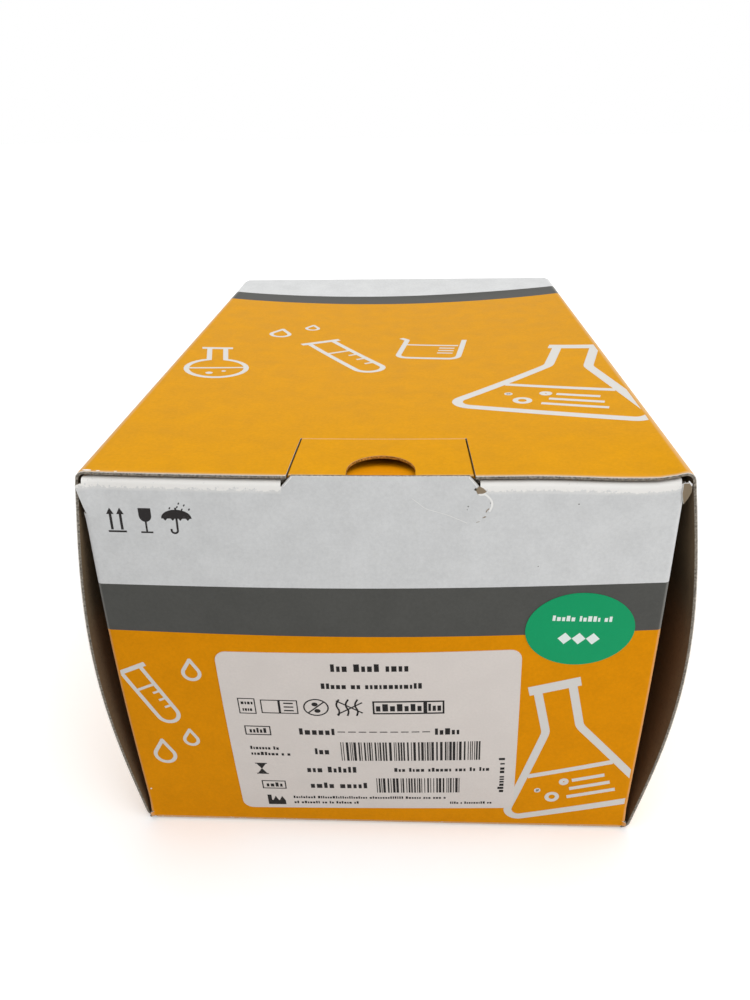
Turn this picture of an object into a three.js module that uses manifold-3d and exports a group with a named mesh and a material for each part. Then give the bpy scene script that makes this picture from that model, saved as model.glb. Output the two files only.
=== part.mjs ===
// Folding carton for boxed laboratory consumables, closed, lying on its widest side.
//
// One blank of solid grey-back board is folded into a tube whose two ends lie at the front (-Y)
// and the back (+Y). The back end is glued shut. The front end is closed by a panel that hangs on
// the bottom panel's front fold: it has two ears folded inwards, a tuck flap that slides under the
// top panel, and a tongue that stands in front of a thumb tab cut into the top panel.
// Millimetres, +Z up, origin at the middle of the underside.

import * as THREE from 'three';
import { TessellateModifier } from 'three/addons/modifiers/TessellateModifier.js';
import { mergeVertices } from 'three/addons/utils/BufferGeometryUtils.js';
import Module from 'manifold-3d';

// ---------------------------------------------------------------- driving dimensions

const carton = { width: 144, depth: 213, height: 117 };
const board = 0.8;
const tubeFold = 2.0; // outer radius of the tube's four long folds
const flapFold = 1.2; // outer radius of the folds that the flaps hang on
const rawEdgeSetback = 0.3; // from the closed front panel back to the tube's raw front edges
const hingeGap = 0.3; // open stretch of board at a fold that swings
const glueBite = 0.04; // how far glued layers press into each other

const seam = { width: 16, root: 2, frontSetback: 3, chamfer: 10 }; // lap inside the lower left fold

const closure = {
  sideClearance: 0.5, // to the side walls at each side
  topClearance: 0.7, // from the tuck flap up to the top panel
  cornerClearance: 0.6, // from the tube's own folds up to the lower ends of the side folds
};
const ear = { length: 24, relief: 1.6, slope: 3, corner: 8 };
const tuck = { length: 27, taper: 1.5, corner: 11 };
const tongue = { topWidth: 41.5, spread: 2.25, root: 1.0, gap: 0.3 }; // root: below the tuck fold
const tab = {
  length: 23,
  setback: 1.3, // from the closed front panel back to the tab's front edge
  kerf: 0.45, // width of the cut round the tab
  tongueClearance: 1.4, // from the tongue to the window's side at each side
  taper: 0.7, // how much narrower the tab is at each side of its rear crease
  seatGap: 0.3, // from the tab down to the tuck flap
};
const thumbNotch = { radius: 8.2, centre: 4.3 }; // centre: behind the front of the carton

const backEnd = { outerSideGap: 0.6, lowerGap: 0.8, upperGap: 1.2 };
const dustFlap = { length: 48, taper: 6, corner: 5 };

const label = { width: 80, height: 60, corner: 3, bottom: 7.2, turn: 1.2, thickness: 0.15 };
const oval = { width: 27, height: 22, right: 6, belowTop: 43.2, turn: -3, thickness: 0.15 };
const labelGap = 1.4; // between the label and the oval sticker
const stickerGap = 0.3; // film of air kept between a sticker and the bowed board

// How far the loose board has bowed: the side walls outwards at their free front edges, the front
// panel outwards, and the top panel downwards at its front edge and where it sags most.
const bow = { leftWall: 6.4, rightWall: 7.4, frontPanel: 3.4, topFront: 1.2, topMost: 3.9 };
const splay = { left: 1.2, right: 0.5 }; // how far the front panel's sides spread with the walls
const lean = 0.5; // how far the front panel's upper corners stand to the left
const topMostAt = 0.6; // share of the depth from which the top panel's full sag is reached
const backHoldAt = 0.88; // share of the depth from which the glued back end lifts it again
const unevenness = 0.005; // how far the board strays from true in any direction

const foldSegments = 4;
const gridStep = 16; // spacing of the points that let flat board bow smoothly

// ---------------------------------------------------------------- places worked out from them

const side = carton.width / 2;
const front = -carton.depth / 2;
const back = carton.depth / 2;
const top = carton.height;
const panelHalf = side - board - closure.sideClearance;
const tuckTop = top - board - closure.topClearance;
const panelBottom = flapFold + hingeGap;
const cornerBottom = board + tubeFold + closure.cornerClearance;
const tubeFront = front + rawEdgeSetback;
const layerPitch = board - glueBite;
const dustFace = back - 2 * layerPitch; // outer face of the back dust flaps
const tubeBack = dustFace - flapFold;
const past = 1; // how far a cutter runs past what it cuts

const orange = new THREE.Color('#dd9a1c');
const paperWhite = new THREE.Color('#d9d2cd');
const green = new THREE.Color('#169b69');

const wasm = await Module();
wasm.setup();

// ---------------------------------------------------------------- solids

/** Leaves a geometry nothing but its points. */
function bare(geometry) {
  geometry.deleteAttribute('normal');
  geometry.deleteAttribute('uv');
  return geometry;
}

/** Turns a closed geometry into a manifold solid. */
function toSolid(geometry) {
  const merged = mergeVertices(bare(geometry), 1e-5);
  return new wasm.Manifold(new wasm.Mesh({
    numProp: 3,
    vertProperties: Float32Array.from(merged.attributes.position.array),
    triVerts: Uint32Array.from(merged.index.array),
  }));
}

/** Gives a manifold solid back as an unindexed geometry. */
function toGeometry(solid) {
  const mesh = solid.getMesh();
  const geometry = new THREE.BufferGeometry();
  geometry.setAttribute('position', new THREE.BufferAttribute(mesh.vertProperties, 3));
  geometry.setIndex(new THREE.BufferAttribute(mesh.triVerts, 1));
  return geometry.toNonIndexed();
}

/** Adds points along an outline's straight runs, no further apart than the grid step. */
function gridded(outline) {
  return outline.flatMap((point, i) => {
    const next = outline[(i + 1) % outline.length];
    const run = point.distanceTo(next);
    const count = run < 1e-6 ? 0 : Math.ceil(run / gridStep);
    return Array.from({ length: count }, (_, k) => point.clone().lerp(next, k / count));
  });
}

/** Runs a section along +Z, with its faces divided into a grid that can bow. */
function extrude(section, length) {
  const { shape, holes } = section.extractPoints(foldSegments);
  const divided = new THREE.Shape(gridded(shape));
  divided.holes.push(...holes.map((hole) => new THREE.Path(gridded(hole))));
  return new THREE.ExtrudeGeometry(divided, {
    depth: length,
    steps: Math.max(1, Math.ceil(length / gridStep)),
    bevelEnabled: false,
  });
}

/** A section drawn in X and Y, run along Z. */
function alongZ(shape, from, to) {
  return toSolid(extrude(shape, to - from).translate(0, 0, from));
}

/** A section drawn in X and Z, run along Y. */
function alongY(shape, from, to) {
  return toSolid(extrude(shape, to - from).rotateX(Math.PI / 2).translate(0, to, 0));
}

/** A section drawn in Y and Z, run along X. */
function alongX(shape, from, to) {
  const turn = new THREE.Matrix4().makeBasis(
    new THREE.Vector3(0, 1, 0),
    new THREE.Vector3(0, 0, 1),
    new THREE.Vector3(1, 0, 0),
  );
  return toSolid(extrude(shape, to - from).applyMatrix4(turn).translate(from, 0, 0));
}

function polygon(...corners) {
  return new THREE.Shape(corners.map(([a, b]) => new THREE.Vector2(a, b)));
}

function rectangle(a0, b0, a1, b1) {
  return polygon([a0, b0], [a1, b0], [a1, b1], [a0, b1]);
}

/**
 * Section of board turning round a fold. The fold's centre is (a, b); the outer skin starts in the
 * direction of startAngle and turns anticlockwise by sweep. Each end runs on straight by its lead,
 * which is a flap of its own or overlaps the panel it joins.
 */
function foldSection(a, b, startAngle, leadIn, leadOut, sweep = Math.PI / 2) {
  const end = startAngle + sweep;
  const at = (angle, radius, run, runAngle) => [
    a + radius * Math.cos(angle) + run * Math.cos(runAngle),
    b + radius * Math.sin(angle) + run * Math.sin(runAngle),
  ];
  const inner = flapFold - board;
  const backwards = startAngle - Math.PI / 2;
  const onwards = end + Math.PI / 2;
  const shape = new THREE.Shape();
  shape.moveTo(...at(startAngle, inner, leadIn, backwards));
  shape.lineTo(...at(startAngle, flapFold, leadIn, backwards));
  shape.absarc(a, b, flapFold, startAngle, end, false);
  shape.lineTo(...at(end, flapFold, leadOut, onwards));
  shape.lineTo(...at(end, inner, leadOut, onwards));
  shape.absarc(a, b, inner, end, startAngle, true);
  return shape;
}

// ---------------------------------------------------------------- the board's bow

const { clamp, smoothstep, lerp } = THREE.MathUtils;

function alongDepth(y) {
  return clamp((y - front) / carton.depth, 0, 1);
}

/** Outward bow of the side walls, most at the free front edge and none at the glued back. */
function wallBow(x, y, z) {
  const reach = x < 0 ? -bow.leftWall : bow.rightWall;
  const arch = Math.sin(Math.PI * clamp(z / top, 0, 1));
  const hold = Math.cos(Math.PI / 2 * alongDepth(y)) ** 1.5;
  return reach * arch * hold * smoothstep(Math.abs(x), side - 6 * tubeFold, side - tubeFold);
}

/** Sag of the top panel, and of what lies against it, below its flat form. */
function topSag(x, y, z) {
  const share = alongDepth(y);
  const deepest = lerp(bow.topFront, bow.topMost, smoothstep(share, 0, topMostAt));
  const held = 1 - smoothstep(share, backHoldAt, 1);
  const across = Math.max(0, Math.cos(Math.PI * x / carton.width)) ** 0.8;
  return deepest * held * across * smoothstep(z, top - 12, top - 3);
}

/** Outward bulge of the closed front panel. */
function panelBulge(x, z) {
  const across = Math.max(0, Math.cos(Math.PI / 2 * x / panelHalf));
  return bow.frontPanel * across * Math.sin(Math.PI * clamp(z / top, 0, 1));
}

/** Sideways shift of the closed front panel's sides; its tongue stays in line with the tab. */
function panelShift(x, z) {
  const level = clamp(z / top, 0, 1);
  const spread = (x < 0 ? -splay.left : splay.right) * Math.sin(Math.PI * level) ** 1.2;
  return (spread - lean * level) * (x / panelHalf) ** 2;
}

/** Small waves in the board, in every direction but down: the underside stays flat. */
function ripple(x, y, z) {
  return [
    unevenness * Math.sin(0.073 * y + 0.041 * z + 1.3),
    unevenness * Math.sin(0.057 * x + 0.083 * z + 0.7),
    unevenness * Math.sin(0.067 * x + 0.049 * y + 2.1) * smoothstep(z, 0, tubeFold),
  ];
}

/** Splits the long edges that flat caps and cuts leave, where the board has to bow. */
function splitLongEdges(geometry) {
  return new TessellateModifier(1.5 * gridStep, 24).modify(geometry);
}

/** Moves every point by what displace(x, y, z) gives and by the ripple, and closes the mesh. */
function bowed(geometry, displace) {
  const points = geometry.attributes.position;
  for (let i = 0; i < points.count; i += 1) {
    const [x, y, z] = [points.getX(i), points.getY(i), points.getZ(i)];
    const [dx, dy, dz] = displace(x, y, z);
    const [rx, ry, rz] = ripple(x, y, z);
    points.setXYZ(i, x + dx + rx, y + dy + ry, z + dz + rz);
  }
  const closed = mergeVertices(geometry, 1e-4);
  closed.computeVertexNormals();
  return closed;
}

function piece(name, geometry, color, roughness) {
  const material = new THREE.MeshStandardMaterial({ color, roughness, metalness: 0 });
  const mesh = new THREE.Mesh(geometry, material);
  mesh.name = name;
  return mesh;
}

// ---------------------------------------------------------------- carton body

/** Section of the folded tube: one strip of board from the bottom panel round to the glued lap. */
function tubeSection() {
  const inner = tubeFold - board;
  const x = side - tubeFold;
  const lapFold = board + tubeFold; // height of the lower left fold's centre, on the bottom panel
  const shape = new THREE.Shape();
  shape.moveTo(-side + board / 2, board);
  shape.lineTo(-side + board / 2, 0);
  shape.lineTo(x, 0);
  shape.absarc(x, tubeFold, tubeFold, -Math.PI / 2, 0, false);
  shape.lineTo(side, top - tubeFold);
  shape.absarc(x, top - tubeFold, tubeFold, 0, Math.PI / 2, false);
  shape.lineTo(-x, top);
  shape.absarc(-x, top - tubeFold, tubeFold, Math.PI / 2, Math.PI, false);
  shape.lineTo(-side, lapFold);
  shape.absarc(-x, lapFold, tubeFold, Math.PI, Math.PI * 1.5, false);

  const hollow = new THREE.Path();
  hollow.moveTo(-x, 2 * board);
  hollow.absarc(-x, lapFold, inner, Math.PI * 1.5, Math.PI, true);
  hollow.lineTo(-x - inner, top - tubeFold);
  hollow.absarc(-x, top - tubeFold, inner, Math.PI, Math.PI / 2, true);
  hollow.lineTo(x, top - board);
  hollow.absarc(x, top - tubeFold, inner, Math.PI / 2, 0, true);
  hollow.lineTo(x + inner, tubeFold);
  hollow.absarc(x, tubeFold, inner, 0, -Math.PI / 2, true);
  hollow.lineTo(-x + seam.width, board);
  hollow.lineTo(-x + seam.width, 2 * board);
  shape.holes.push(hollow);
  return shape;
}

/** The glued lap's front end is cut back to its root, with a chamfered corner. */
function lapCutter() {
  const root = -side + tubeFold + seam.root;
  const edge = -side + tubeFold + seam.width;
  const start = front + flapFold + seam.frontSetback;
  const outline = polygon(
    [root, front - past],
    [edge + past, front - past],
    [edge + past, start + seam.chamfer],
    [edge, start + seam.chamfer],
    [root, start],
  );
  return alongZ(outline, board, 2 * board + past);
}

/** The bottom panel's front edge is folded up to carry the closing panel. */
function frontFold(tube) {
  const reach = panelHalf - flapFold;
  const cutter = alongX(rectangle(front - past, -past, front + flapFold, 2 * board), -reach, reach);
  const section = foldSection(front + flapFold, flapFold, Math.PI, 0, past);
  return tube.subtract(cutter).add(alongX(section, -reach, reach));
}

/** Outline of the thumb tab in X and Y, larger all round by a margin. */
function tabOutline(margin) {
  const atFront = tongue.topWidth / 2 + tab.tongueClearance - tab.kerf + margin;
  const atRear = atFront - tab.taper;
  const start = margin > 0 ? front - past : front + tab.setback;
  const end = front + tab.length - (margin > 0 ? 0 : hingeGap);
  return { atFront, atRear, start, end };
}

function tabWindow() {
  const { atFront, atRear, start, end } = tabOutline(tab.kerf);
  const outline = polygon([-atFront, start], [atFront, start], [atRear, end], [-atRear, end]);
  return alongZ(outline, top - board - past, top + past);
}

/** Outer flap, hung on the top panel's back fold and glued over the inner flap. */
function outerBackFlap() {
  const reach = side - tubeFold;
  const roof = rectangle(tubeBack - past, top - board, back - flapFold, top);
  const fold = foldSection(back - flapFold, top - flapFold, 0, past, 0);
  const wall = side - backEnd.outerSideGap;
  const face = rectangle(back - board, backEnd.lowerGap, back, top - flapFold - hingeGap);
  return alongX(roof, -reach, reach)
    .add(alongX(fold, -reach, reach))
    .add(alongX(face, -wall, wall));
}

/** Inner flap, hung on the bottom panel's back fold. */
function innerBackFlap() {
  const face = back - layerPitch;
  const reach = side - tubeFold;
  const floor = rectangle(tubeBack - past, 0, face - flapFold, board);
  const fold = foldSection(face - flapFold, flapFold, -Math.PI / 2, 0, past);
  const wall = rectangle(face - board, flapFold, face, top - board - backEnd.upperGap);
  return alongX(floor, -reach, reach)
    .add(alongX(fold, -reach, reach))
    .add(alongX(wall, -reach, reach));
}

/** Dust flap of the right wall, or of the left one with hand = -1. */
function backDustFlap(hand) {
  const low = hand < 0 ? board + tubeFold : tubeFold;
  const high = top - tubeFold;
  const foldAt = side - flapFold;
  const end = side - dustFlap.length;
  const { taper, corner } = dustFlap;
  const outline = new THREE.Shape();
  outline.moveTo(hand * foldAt, low);
  outline.lineTo(hand * foldAt, high);
  outline.lineTo(hand * (end + corner), high - taper);
  outline.quadraticCurveTo(hand * end, high - taper, hand * end, high - taper - corner);
  outline.lineTo(hand * end, low + taper + corner);
  outline.quadraticCurveTo(hand * end, low + taper, hand * (end + corner), low + taper);
  const flap = alongY(outline, dustFace - board, dustFace);
  const fold = foldSection(hand * foldAt, tubeBack, hand > 0 ? 0 : Math.PI / 2, past, past);
  return flap.add(alongZ(fold, low, high));
}

function cartonBody() {
  const tube = alongY(tubeSection(), tubeFront, tubeBack).subtract(lapCutter());
  const solid = frontFold(tube)
    .subtract(tabWindow())
    .add(outerBackFlap())
    .add(innerBackFlap())
    .add(backDustFlap(1))
    .add(backDustFlap(-1));
  return bowed(toGeometry(solid), (x, y, z) => [wallBow(x, y, z), 0, -topSag(x, y, z)]);
}

// ---------------------------------------------------------------- front closure

/** Section of the panel and its ears, seen from above. */
function panelSection() {
  const inner = flapFold - board;
  const foldAt = panelHalf - flapFold;
  const centre = front + flapFold;
  const end = front + ear.length;
  const shape = new THREE.Shape();
  shape.moveTo(-panelHalf, end);
  shape.lineTo(-panelHalf, centre);
  shape.absarc(-foldAt, centre, flapFold, Math.PI, Math.PI * 1.5, false);
  shape.lineTo(foldAt, front);
  shape.absarc(foldAt, centre, flapFold, Math.PI * 1.5, Math.PI * 2, false);
  shape.lineTo(panelHalf, end);
  shape.lineTo(panelHalf - board, end);
  shape.lineTo(panelHalf - board, centre);
  shape.absarc(foldAt, centre, inner, 0, -Math.PI / 2, true);
  shape.lineTo(-foldAt, front + board);
  shape.absarc(-foldAt, centre, inner, Math.PI * 1.5, Math.PI, true);
  shape.lineTo(-panelHalf + board, end);
  return shape;
}

/** What the ears' tapered and rounded upper and lower edges leave out of the section. */
function earCutters() {
  const start = front + flapFold;
  const end = front + ear.length;
  const wide = panelHalf + past;
  const edge = (level, up) => {
    const atFold = level - up * ear.relief;
    const atEnd = atFold - up * ear.slope;
    const shape = new THREE.Shape();
    shape.moveTo(start, level + up * past);
    shape.lineTo(start, atFold);
    shape.lineTo(end - ear.corner, atEnd);
    shape.quadraticCurveTo(end, atEnd, end, atEnd - up * ear.corner);
    shape.lineTo(end + past, atEnd - up * ear.corner);
    shape.lineTo(end + past, level + up * past);
    return alongX(shape, -wide, wide);
  };
  return edge(tuckTop - flapFold, 1).add(edge(cornerBottom, -1));
}

/** The side folds start higher than the panel, clear of the tube's own folds. */
function cornerCutters() {
  const end = front + ear.length + past;
  const notch = rectangle(front - past, panelBottom - past, end, cornerBottom);
  const inside = panelHalf - flapFold;
  const outside = panelHalf + past;
  return alongX(notch, inside, outside).add(alongX(notch, -outside, -inside));
}

function tongueSolid() {
  const atTop = tongue.topWidth / 2;
  const atRoot = atTop + tongue.spread;
  const low = tuckTop - flapFold - past;
  const root = tuckTop - tongue.root;
  const outline = polygon(
    [-atRoot, low], [atRoot, low], [atRoot, root], [atTop, top], [-atTop, top], [-atRoot, root],
  );
  return alongY(outline, front, front + board);
}

/** Outline of the tuck fold and flap from above, notched where the tongue was cut out of it. */
function tuckOutline() {
  const atFold = panelHalf - flapFold;
  const atEnd = atFold - tuck.taper;
  const end = front + flapFold + tuck.length;
  const notchTop = tongue.topWidth / 2 + tongue.gap;
  const notch = notchTop + tongue.spread;
  const notchEnd = front + flapFold + (top - tuckTop) + tongue.root;
  const shape = new THREE.Shape();
  shape.moveTo(-atFold, front - past);
  shape.lineTo(-notch, front - past);
  shape.lineTo(-notch, front + flapFold);
  shape.lineTo(-notchTop, notchEnd);
  shape.lineTo(notchTop, notchEnd);
  shape.lineTo(notch, front + flapFold);
  shape.lineTo(notch, front - past);
  shape.lineTo(atFold, front - past);
  shape.lineTo(atFold, front + flapFold);
  shape.lineTo(atEnd, end - tuck.corner);
  shape.absarc(atEnd - tuck.corner, end - tuck.corner, tuck.corner, 0, Math.PI / 2, false);
  shape.lineTo(-atEnd + tuck.corner, end);
  shape.absarc(-atEnd + tuck.corner, end - tuck.corner, tuck.corner, Math.PI / 2, Math.PI, false);
  shape.lineTo(-atFold, front + flapFold);
  return shape;
}

/** The tuck flap slopes down so far that its end swings out no higher than its own fold. */
function tuckFlap() {
  const slope = Math.asin((flapFold + tuck.length) / 2 / (tuckTop - flapFold));
  const turn = Math.PI / 2 + slope;
  const [y, z] = [front + flapFold, tuckTop - flapFold];
  const section = foldSection(y, z, Math.PI - turn, tuck.length + past, past, turn);
  return alongX(section, -panelHalf, panelHalf)
    .intersect(alongZ(tuckOutline(), tuckTop - tuck.length, tuckTop + past));
}

function frontClosure() {
  const solid = alongZ(panelSection(), panelBottom, tuckTop - flapFold)
    .subtract(earCutters())
    .subtract(cornerCutters())
    .add(tongueSolid())
    .add(tuckFlap());
  const shift = (x, y, z) => [panelShift(x, z), -panelBulge(x, z), -topSag(x, y, z)];
  return bowed(splitLongEdges(toGeometry(solid)), shift);
}

// ---------------------------------------------------------------- thumb tab

/** Tab of the top panel with its half-round thumb notch, pressed slightly below the panel. */
function thumbTab() {
  const { atFront, atRear, start, end } = tabOutline(0);
  const { radius } = thumbNotch;
  const centre = front + thumbNotch.centre;
  const shape = new THREE.Shape();
  shape.moveTo(-atFront, start);
  shape.lineTo(-radius, start);
  shape.lineTo(-radius, centre);
  shape.absarc(0, centre, radius, Math.PI, 0, true);
  shape.lineTo(radius, start);
  shape.lineTo(atFront, start);
  shape.lineTo(atRear, end);
  shape.lineTo(-atRear, end);
  const plate = new THREE.ExtrudeGeometry(shape, {
    depth: board,
    bevelEnabled: false,
    curveSegments: 4 * foldSegments,
  }).translate(0, 0, top - board);
  const pressed = closure.topClearance - tab.seatGap;
  const press = (y) => pressed * clamp(1 - (y - front) / tab.length, 0, 1);
  return bowed(splitLongEdges(bare(plate)), (x, y, z) => [0, 0, -topSag(x, y, z) - press(y)]);
}

// ---------------------------------------------------------------- stickers

/** A sticker's outline turned about its centre, laid on the front panel and bowed with it. */
function sticker(outline, centreX, centreZ, turn, thickness, segments) {
  const flat = new THREE.ExtrudeGeometry(outline, {
    depth: thickness,
    bevelEnabled: false,
    curveSegments: segments,
  });
  flat.rotateZ(THREE.MathUtils.degToRad(turn)).rotateX(Math.PI / 2);
  flat.translate(centreX, front - stickerGap, centreZ);
  const shift = (x, y, z) => [panelShift(x, z), -panelBulge(x, z), 0];
  return bowed(splitLongEdges(bare(flat)), shift);
}

const ovalCentreX = panelHalf - oval.right - oval.width / 2;

function infoLabel() {
  const [w, h, r] = [label.width / 2, label.height / 2, label.corner];
  const shape = new THREE.Shape();
  shape.absarc(w - r, h - r, r, 0, Math.PI / 2, false);
  shape.absarc(-w + r, h - r, r, Math.PI / 2, Math.PI, false);
  shape.absarc(-w + r, -h + r, r, Math.PI, Math.PI * 1.5, false);
  shape.absarc(w - r, -h + r, r, Math.PI * 1.5, Math.PI * 2, false);
  const x = ovalCentreX - oval.width / 2 - labelGap - w;
  return sticker(shape, x, label.bottom + h, label.turn, label.thickness, foldSegments);
}

function ovalSticker() {
  const shape = new THREE.Shape();
  shape.absellipse(0, 0, oval.width / 2, oval.height / 2, 0, Math.PI * 2, false, 0);
  const z = top - oval.belowTop;
  return sticker(shape, ovalCentreX, z, oval.turn, oval.thickness, 10 * foldSegments);
}

// ---------------------------------------------------------------- assembly

const model = new THREE.Group();
model.name = 'folding_carton';
model.add(
  piece('carton_body', cartonBody(), orange, 0.6),
  piece('front_closure', frontClosure(), orange, 0.6),
  piece('thumb_tab', thumbTab(), orange, 0.6),
  piece('info_label', infoLabel(), paperWhite, 0.7),
  piece('oval_sticker', ovalSticker(), green, 0.5),
);

export default model;
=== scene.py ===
"""A closed folding carton of printed grey-back board, with a paper data label and an oval sticker.

The printed tube, the closing panel and the thumb tab are each flat board that is folded, cut to
shape, given its thickness and then bowed, as the real blank was. Sizes are millimetres until a
piece is finished, when it is scaled to metres.
"""

import logging
import math
import random
from collections.abc import Callable
from dataclasses import dataclass
from enum import Enum

import bmesh
import bpy
from mathutils import Matrix, Vector


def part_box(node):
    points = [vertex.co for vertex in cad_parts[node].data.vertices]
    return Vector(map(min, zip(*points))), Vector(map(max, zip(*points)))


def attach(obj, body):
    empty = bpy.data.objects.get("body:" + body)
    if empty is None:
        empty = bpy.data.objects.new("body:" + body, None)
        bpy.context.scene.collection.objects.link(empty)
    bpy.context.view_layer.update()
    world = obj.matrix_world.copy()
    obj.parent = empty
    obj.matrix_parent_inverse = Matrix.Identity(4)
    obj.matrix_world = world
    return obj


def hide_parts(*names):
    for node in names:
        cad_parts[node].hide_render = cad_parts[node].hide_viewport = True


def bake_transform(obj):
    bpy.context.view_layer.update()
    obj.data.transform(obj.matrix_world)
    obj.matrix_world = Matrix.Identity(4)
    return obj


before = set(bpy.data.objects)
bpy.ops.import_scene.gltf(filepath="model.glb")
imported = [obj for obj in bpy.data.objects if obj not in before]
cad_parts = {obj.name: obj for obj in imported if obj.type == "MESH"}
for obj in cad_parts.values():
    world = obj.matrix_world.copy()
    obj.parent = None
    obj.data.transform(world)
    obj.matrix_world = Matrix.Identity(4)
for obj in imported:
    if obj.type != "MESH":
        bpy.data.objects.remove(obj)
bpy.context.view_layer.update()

log = logging.getLogger("carton")

Point = tuple[float, float, float]
Pair = tuple[float, float]
Colour = tuple[float, float, float, float]
Test = Callable[[Vector], bool]
Share = Callable[[Vector], float]
Bend = tuple[str, float, Share]
Finish = bpy.types.Material
Socket = bpy.types.NodeSocket

MM = 0.001
WIDTH = 144.0
BOARD = 0.8
TUBE_FOLD = 2.0
FLAP_FOLD = 1.2
EAR_GAP = 0.5  # between the closing panel's ears and the walls
CREASE = 0.3  # length of the open board that bends under the panel and behind the tab
GRID = 4.0  # spacing of the cuts that let flat board bow smoothly
X: Point = (1, 0, 0)
Y: Point = (0, 1, 0)
Z: Point = (0, 0, 1)


class Pick(Enum):
    """What a selection in edit mode is made of."""

    CORNERS = "VERT"
    EDGES = "EDGE"
    FACES = "FACE"


class Skin(Enum):
    """The material slots of a piece of board, in order."""

    ORANGE = 0
    GREY_BACK = 1
    RAW_EDGE = 2
    WHITE = 3
    BAND = 4


def near(value: float, place: float, slack: float = 0.05) -> bool:
    """Whether a value lies at a place."""
    return abs(value - place) < slack


def clamp(value: float) -> float:
    """Value held between 0 and 1."""
    return max(0.0, min(1.0, value))


def smooth(value: float, low: float, high: float) -> float:
    """Smooth step from 0 at low to 1 at high."""
    t = clamp((value - low) / (high - low))
    return t * t * (3 - 2 * t)


def mix(a: float, b: float, t: float) -> float:
    """Value a share t of the way from a to b."""
    return a + (b - a) * t


def direction(degrees: float) -> Vector:
    """Level direction at an angle, anticlockwise from +u."""
    return Vector((math.cos(math.radians(degrees)), math.sin(math.radians(degrees)), 0))


def on_side(hand: int, share: Share) -> Share:
    """A share that counts only on the left (-1) or only on the right (1)."""
    return lambda p: share(p) if p.x * hand > 0 else 0.0


# ---------------------------------------------------------------- places taken from the frame


@dataclass(frozen=True)
class Layout:
    """Main planes of the carton in millimetres, as the frame has them.

    Args:
        front: Y of the closed front panel's face, before it bows.
        back: Y of the glued back end's face.
        top: Z of the top panel's face, before it sags.
        tab_half: Half the width of the thumb tab at its front.
        tab_front: Y of the thumb tab's free edge.
        tab_rear: Y of the thumb tab's crease.
        tab_taper: How much narrower each side of the tab is at its crease.
        side: Half the width over the tube's walls, before they bow.
        panel_half: Half the width over the closing panel's ears.
        panel_flat: Half the width of the closing panel between its ears' folds.
    """

    front: float
    back: float
    top: float
    tab_half: float
    tab_front: float
    tab_rear: float
    tab_taper: float = 0.7
    side: float = WIDTH / 2
    panel_half: float = WIDTH / 2 - BOARD - EAR_GAP
    panel_flat: float = WIDTH / 2 - BOARD - EAR_GAP - FLAP_FOLD

    @staticmethod
    def from_frame() -> "Layout":
        """Reads the planes off the boxes of the frame's nodes.

        Returns:
            The layout, rounded to a tenth of a millimetre.
        """
        (_, front, _), (_, back, top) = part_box("carton_body")
        (_, tab_front, _), (tab_half, tab_rear, _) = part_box("thumb_tab")
        return Layout(*(round(v / MM, 1) for v in (front, back, top, tab_half, tab_front, tab_rear)))


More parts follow.
